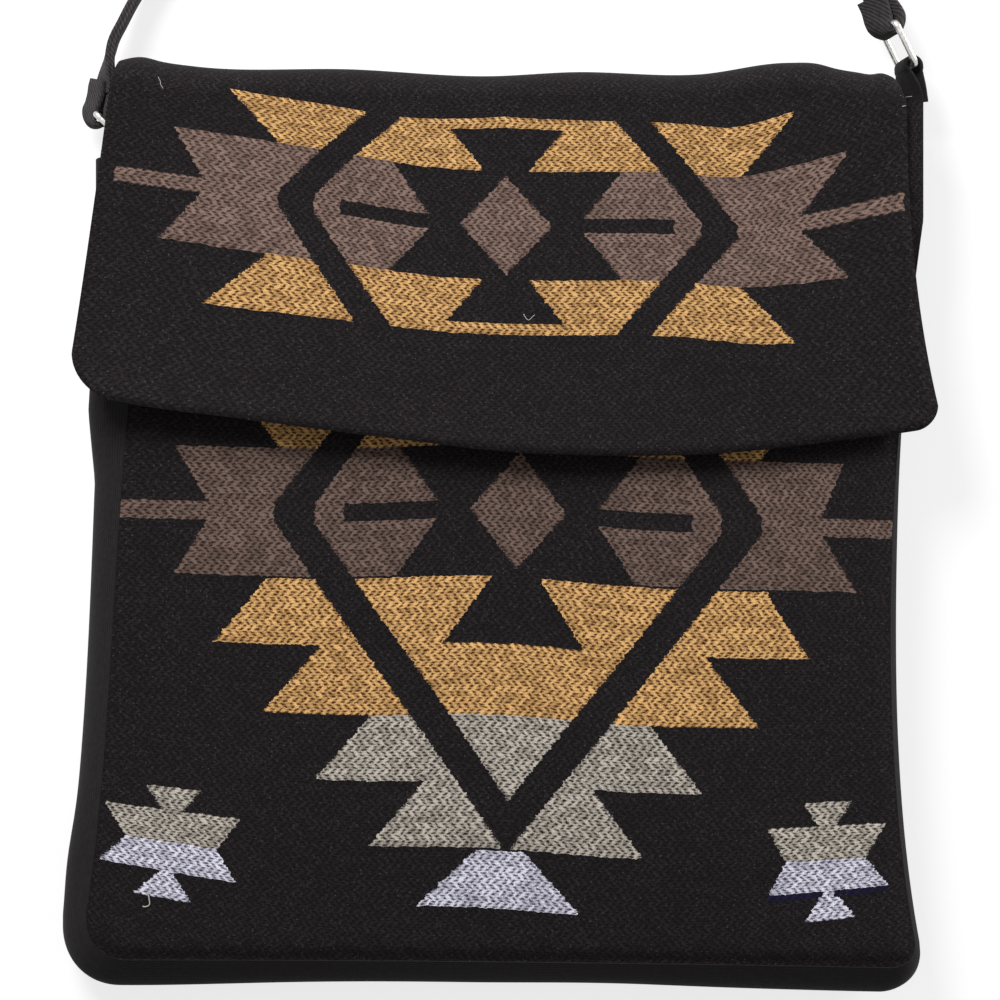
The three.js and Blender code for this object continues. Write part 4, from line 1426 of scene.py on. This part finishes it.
ring_finish, net, shader = new_finish("dull_nickel", roughness=0.3, metallic=1.0, specular=0.5)
here = net.add("ShaderNodeTexCoord").outputs["Object"]
cloud = net.noise(here, CLOUD_SCALE, detail=3.0, flat=False)[0]
net.set(shader.inputs["Roughness"], net.ramp(cloud, 0.3, 0.7, *NICKEL_ROUGHNESS))
net.set(shader.inputs["Base Color"], net.blend(cloud, *NICKEL))
marks = net.noise(here, MARK_SCALE, flat=False)[0]
raise_threads(net, shader, marks, *MARK_RELIEF)
for wire in rings.values():
    wire.data.materials.append(ring_finish)
print("nickel on", len(rings), "rings")

# %% [markdown]
# ## Loose thread
# A bar tack of pale thread holds the right tab, and a cut end, a hair and a bit of lint lie on the
# cloth. Each is a very thin tape along a few points. A ray cast straight down finds the height of
# the cloth there.

# %% Stitches and loose ends
# Each strand's thickness and its route in plan
THREAD_LINES = [
    (0.34, [(-111.3, -114.2), (-110.9, -116.4), (-110.8, -118.2), (-112.0, -118.9), (-113.0, -118.8)]),
    (0.14, [(-107.9, 147.0), (-107.2, 145.6), (-107.0, 144.4), (-106.2, 143.2)]),
    (0.18, [(9.1, 70.9), (10.0, 69.4), (10.7, 68.9), (11.5, 69.5), (12.6, 70.6)]),
    (0.2, [(129.9, 141.0), (131.6, 141.5)]),
    (0.2, [(132.6, 141.6), (134.6, 141.8)]),
    (0.2, [(130.4, 137.5), (131.5, 137.8)]),
]
THREAD_LIFT = 0.4
THREAD_STEP = 0.4
THREAD_WAY = Vector((0.3, 0.2, 1))
ABOVE = 100


def cloth_height(x, y, pieces):
    """The highest cloth under a place, in millimetres."""
    heights = [CLOTH]
    for piece in pieces:
        hit, spot, _, _ = piece.ray_cast(Vector((x, y, ABOVE)) * MM, -UP)
        if hit:
            heights.append(spot.z / MM)
    return max(heights)


bpy.context.view_layer.update()
under = [front, mantle, gusset, *tabs.values()]
strands = []
for count, (thick, spots) in enumerate(THREAD_LINES):
    points = [(x, y, cloth_height(x, y, under) + thick * THREAD_LIFT) for x, y in spots]
    line = smooth_route(points, THREAD_STEP)
    ways = [THREAD_WAY] * len(line)
    strands.append(tape(f"strand_{count}", line, ways, flat_section(thick, thick)))
deselect()
for strand in strands:
    strand.select_set(True)
bpy.context.view_layer.objects.active = strands[0]
bpy.ops.object.join()
stitches = bpy.context.object
stitches.name = "loose_thread"
stitches.data.name = stitches.name
thread_finish, net, shader = new_finish("pale_thread", roughness=0.8, specular=0.1)
shader.inputs["Base Color"].default_value = light(178, 174, 170)
stitches.data.materials.append(thread_finish)
print(stitches.name, len(stitches.data.polygons), "faces")

# %% [markdown]
# ## What moves with what
# The cloth of the bag is one body, and each ring swings on its tab with the strap end that is sewn
# to it.

# %% Bodies
def takes_over(piece, slot, *nodes):
    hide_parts(*nodes)


for piece, node, slot in (
    (mantle, "back_and_flap", "woven_cloth"),
    (front, "front_panel", "woven_cloth"),
    (gusset, "gusset", "plain_cloth"),
    (mantle_lining, "back_and_flap_lining", "lining"),
    (front_lining, "front_lining", "lining"),
    (gusset_lining, "gusset_lining", "lining"),
):
    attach(piece, "bag")
    takes_over(piece, slot, node)
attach(stitches, "bag")
for side in SIDE_RINGS:
    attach(tabs[side], "bag")
    takes_over(tabs[side], "plain_cloth", f"tab_{side}")
    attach(rings[side], f"{side}_ring")
    takes_over(rings[side], "ring_metal", f"ring_{side}")
    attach(strap_ends[side], f"{side}_ring")
    takes_over(strap_ends[side], "strap_tape", f"strap_end_{side}")
print("each ring carries its end of the strap:", list(SIDE_RINGS))

# %% The strap's two halves
# Each half's place is baked into its mesh and the imported strap is hidden; its length and route in metres
# are worked out and not used
for side, half in strap_halves.items():
    line = strap_lines[side]
    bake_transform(half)
    takes_over(half, "strap_tape", "strap")
    route_lengths(line)[-1] * MM
    [p * MM for p in line]
print("cords:", [half.name for half in strap_halves.values()])

# %% Count of the sheets
print("sheets: three outer cloths, three linings and", len(tabs), "tabs")

# %% [markdown]
# ## Floor and light
# The floor and the world are white to the camera, and the floor still takes the bag's soft shadow.
# A broad lamp at the upper left models the cloth, and the world fills the rest.

# %% Floor
WHITE = (1, 1, 1, 1)
FLOOR_SIZE = 6
FLOOR_DEPTH = 0.0004
FLOOR_GREY = (0.3, 0.3, 0.3, 1)
FLOOR_GLOW = 0.75


def backdrop_rays(net):
    """1 for a ray that shows the backdrop: from the camera, off a shiny face or through a clear one."""
    rays = net.add("ShaderNodeLightPath").outputs
    seen = net.sum("MAXIMUM", rays["Is Camera Ray"], rays["Is Glossy Ray"])
    return net.sum("MAXIMUM", seen, rays["Is Transmission Ray"])


deselect()
bpy.ops.mesh.primitive_plane_add(size=FLOOR_SIZE, location=(0, 0, 0))
floor = bpy.context.object
floor.name = "floor"
for corner in floor.data.vertices:
    corner.co.z = -FLOOR_DEPTH
floor_finish, net, shader = new_finish("pale_floor", roughness=0.9, specular=0.0)
shader.inputs["Base Color"].default_value = FLOOR_GREY
shader.inputs["Emission Color"].default_value = WHITE
net.set(shader.inputs["Emission Strength"], net.product(backdrop_rays(net), FLOOR_GLOW))
floor.data.materials.append(floor_finish)
print(floor.name, FLOOR_SIZE, "m wide")

# %% World and lamps
SKY_FILL = 0.3

world = bpy.data.worlds.new("studio")
bpy.context.scene.world = world
world.use_nodes = True
net = Net(world.node_tree)
sky = world.node_tree.nodes["Background"]
sky.inputs["Color"].default_value = WHITE
net.set(sky.inputs["Strength"], net.ramp(backdrop_rays(net), 0.0, 1.0, SKY_FILL, 1.0))

# Each lamp's place, its width and its power
LAMPS = {
    "upper_left_lamp": (Vector((-0.55, 1.08, 0.96)), 0.7, 26.2),
    "right_fill_lamp": (Vector((1.5, 0.8, 0.4)), 0.7, 22),
}
for name, (place, size, power) in LAMPS.items():
    deselect()
    bpy.ops.object.light_add(type="AREA", location=place)
    lamp = bpy.context.object
    lamp.name = name
    lamp.data.shape = "DISK"
    lamp.data.size = size
    lamp.data.energy = power
    lamp.rotation_euler = (-place).to_track_quat("-Z", "Y").to_euler()
bpy.context.scene.view_settings.view_transform = "Standard"
print(len(LAMPS), "lamps")
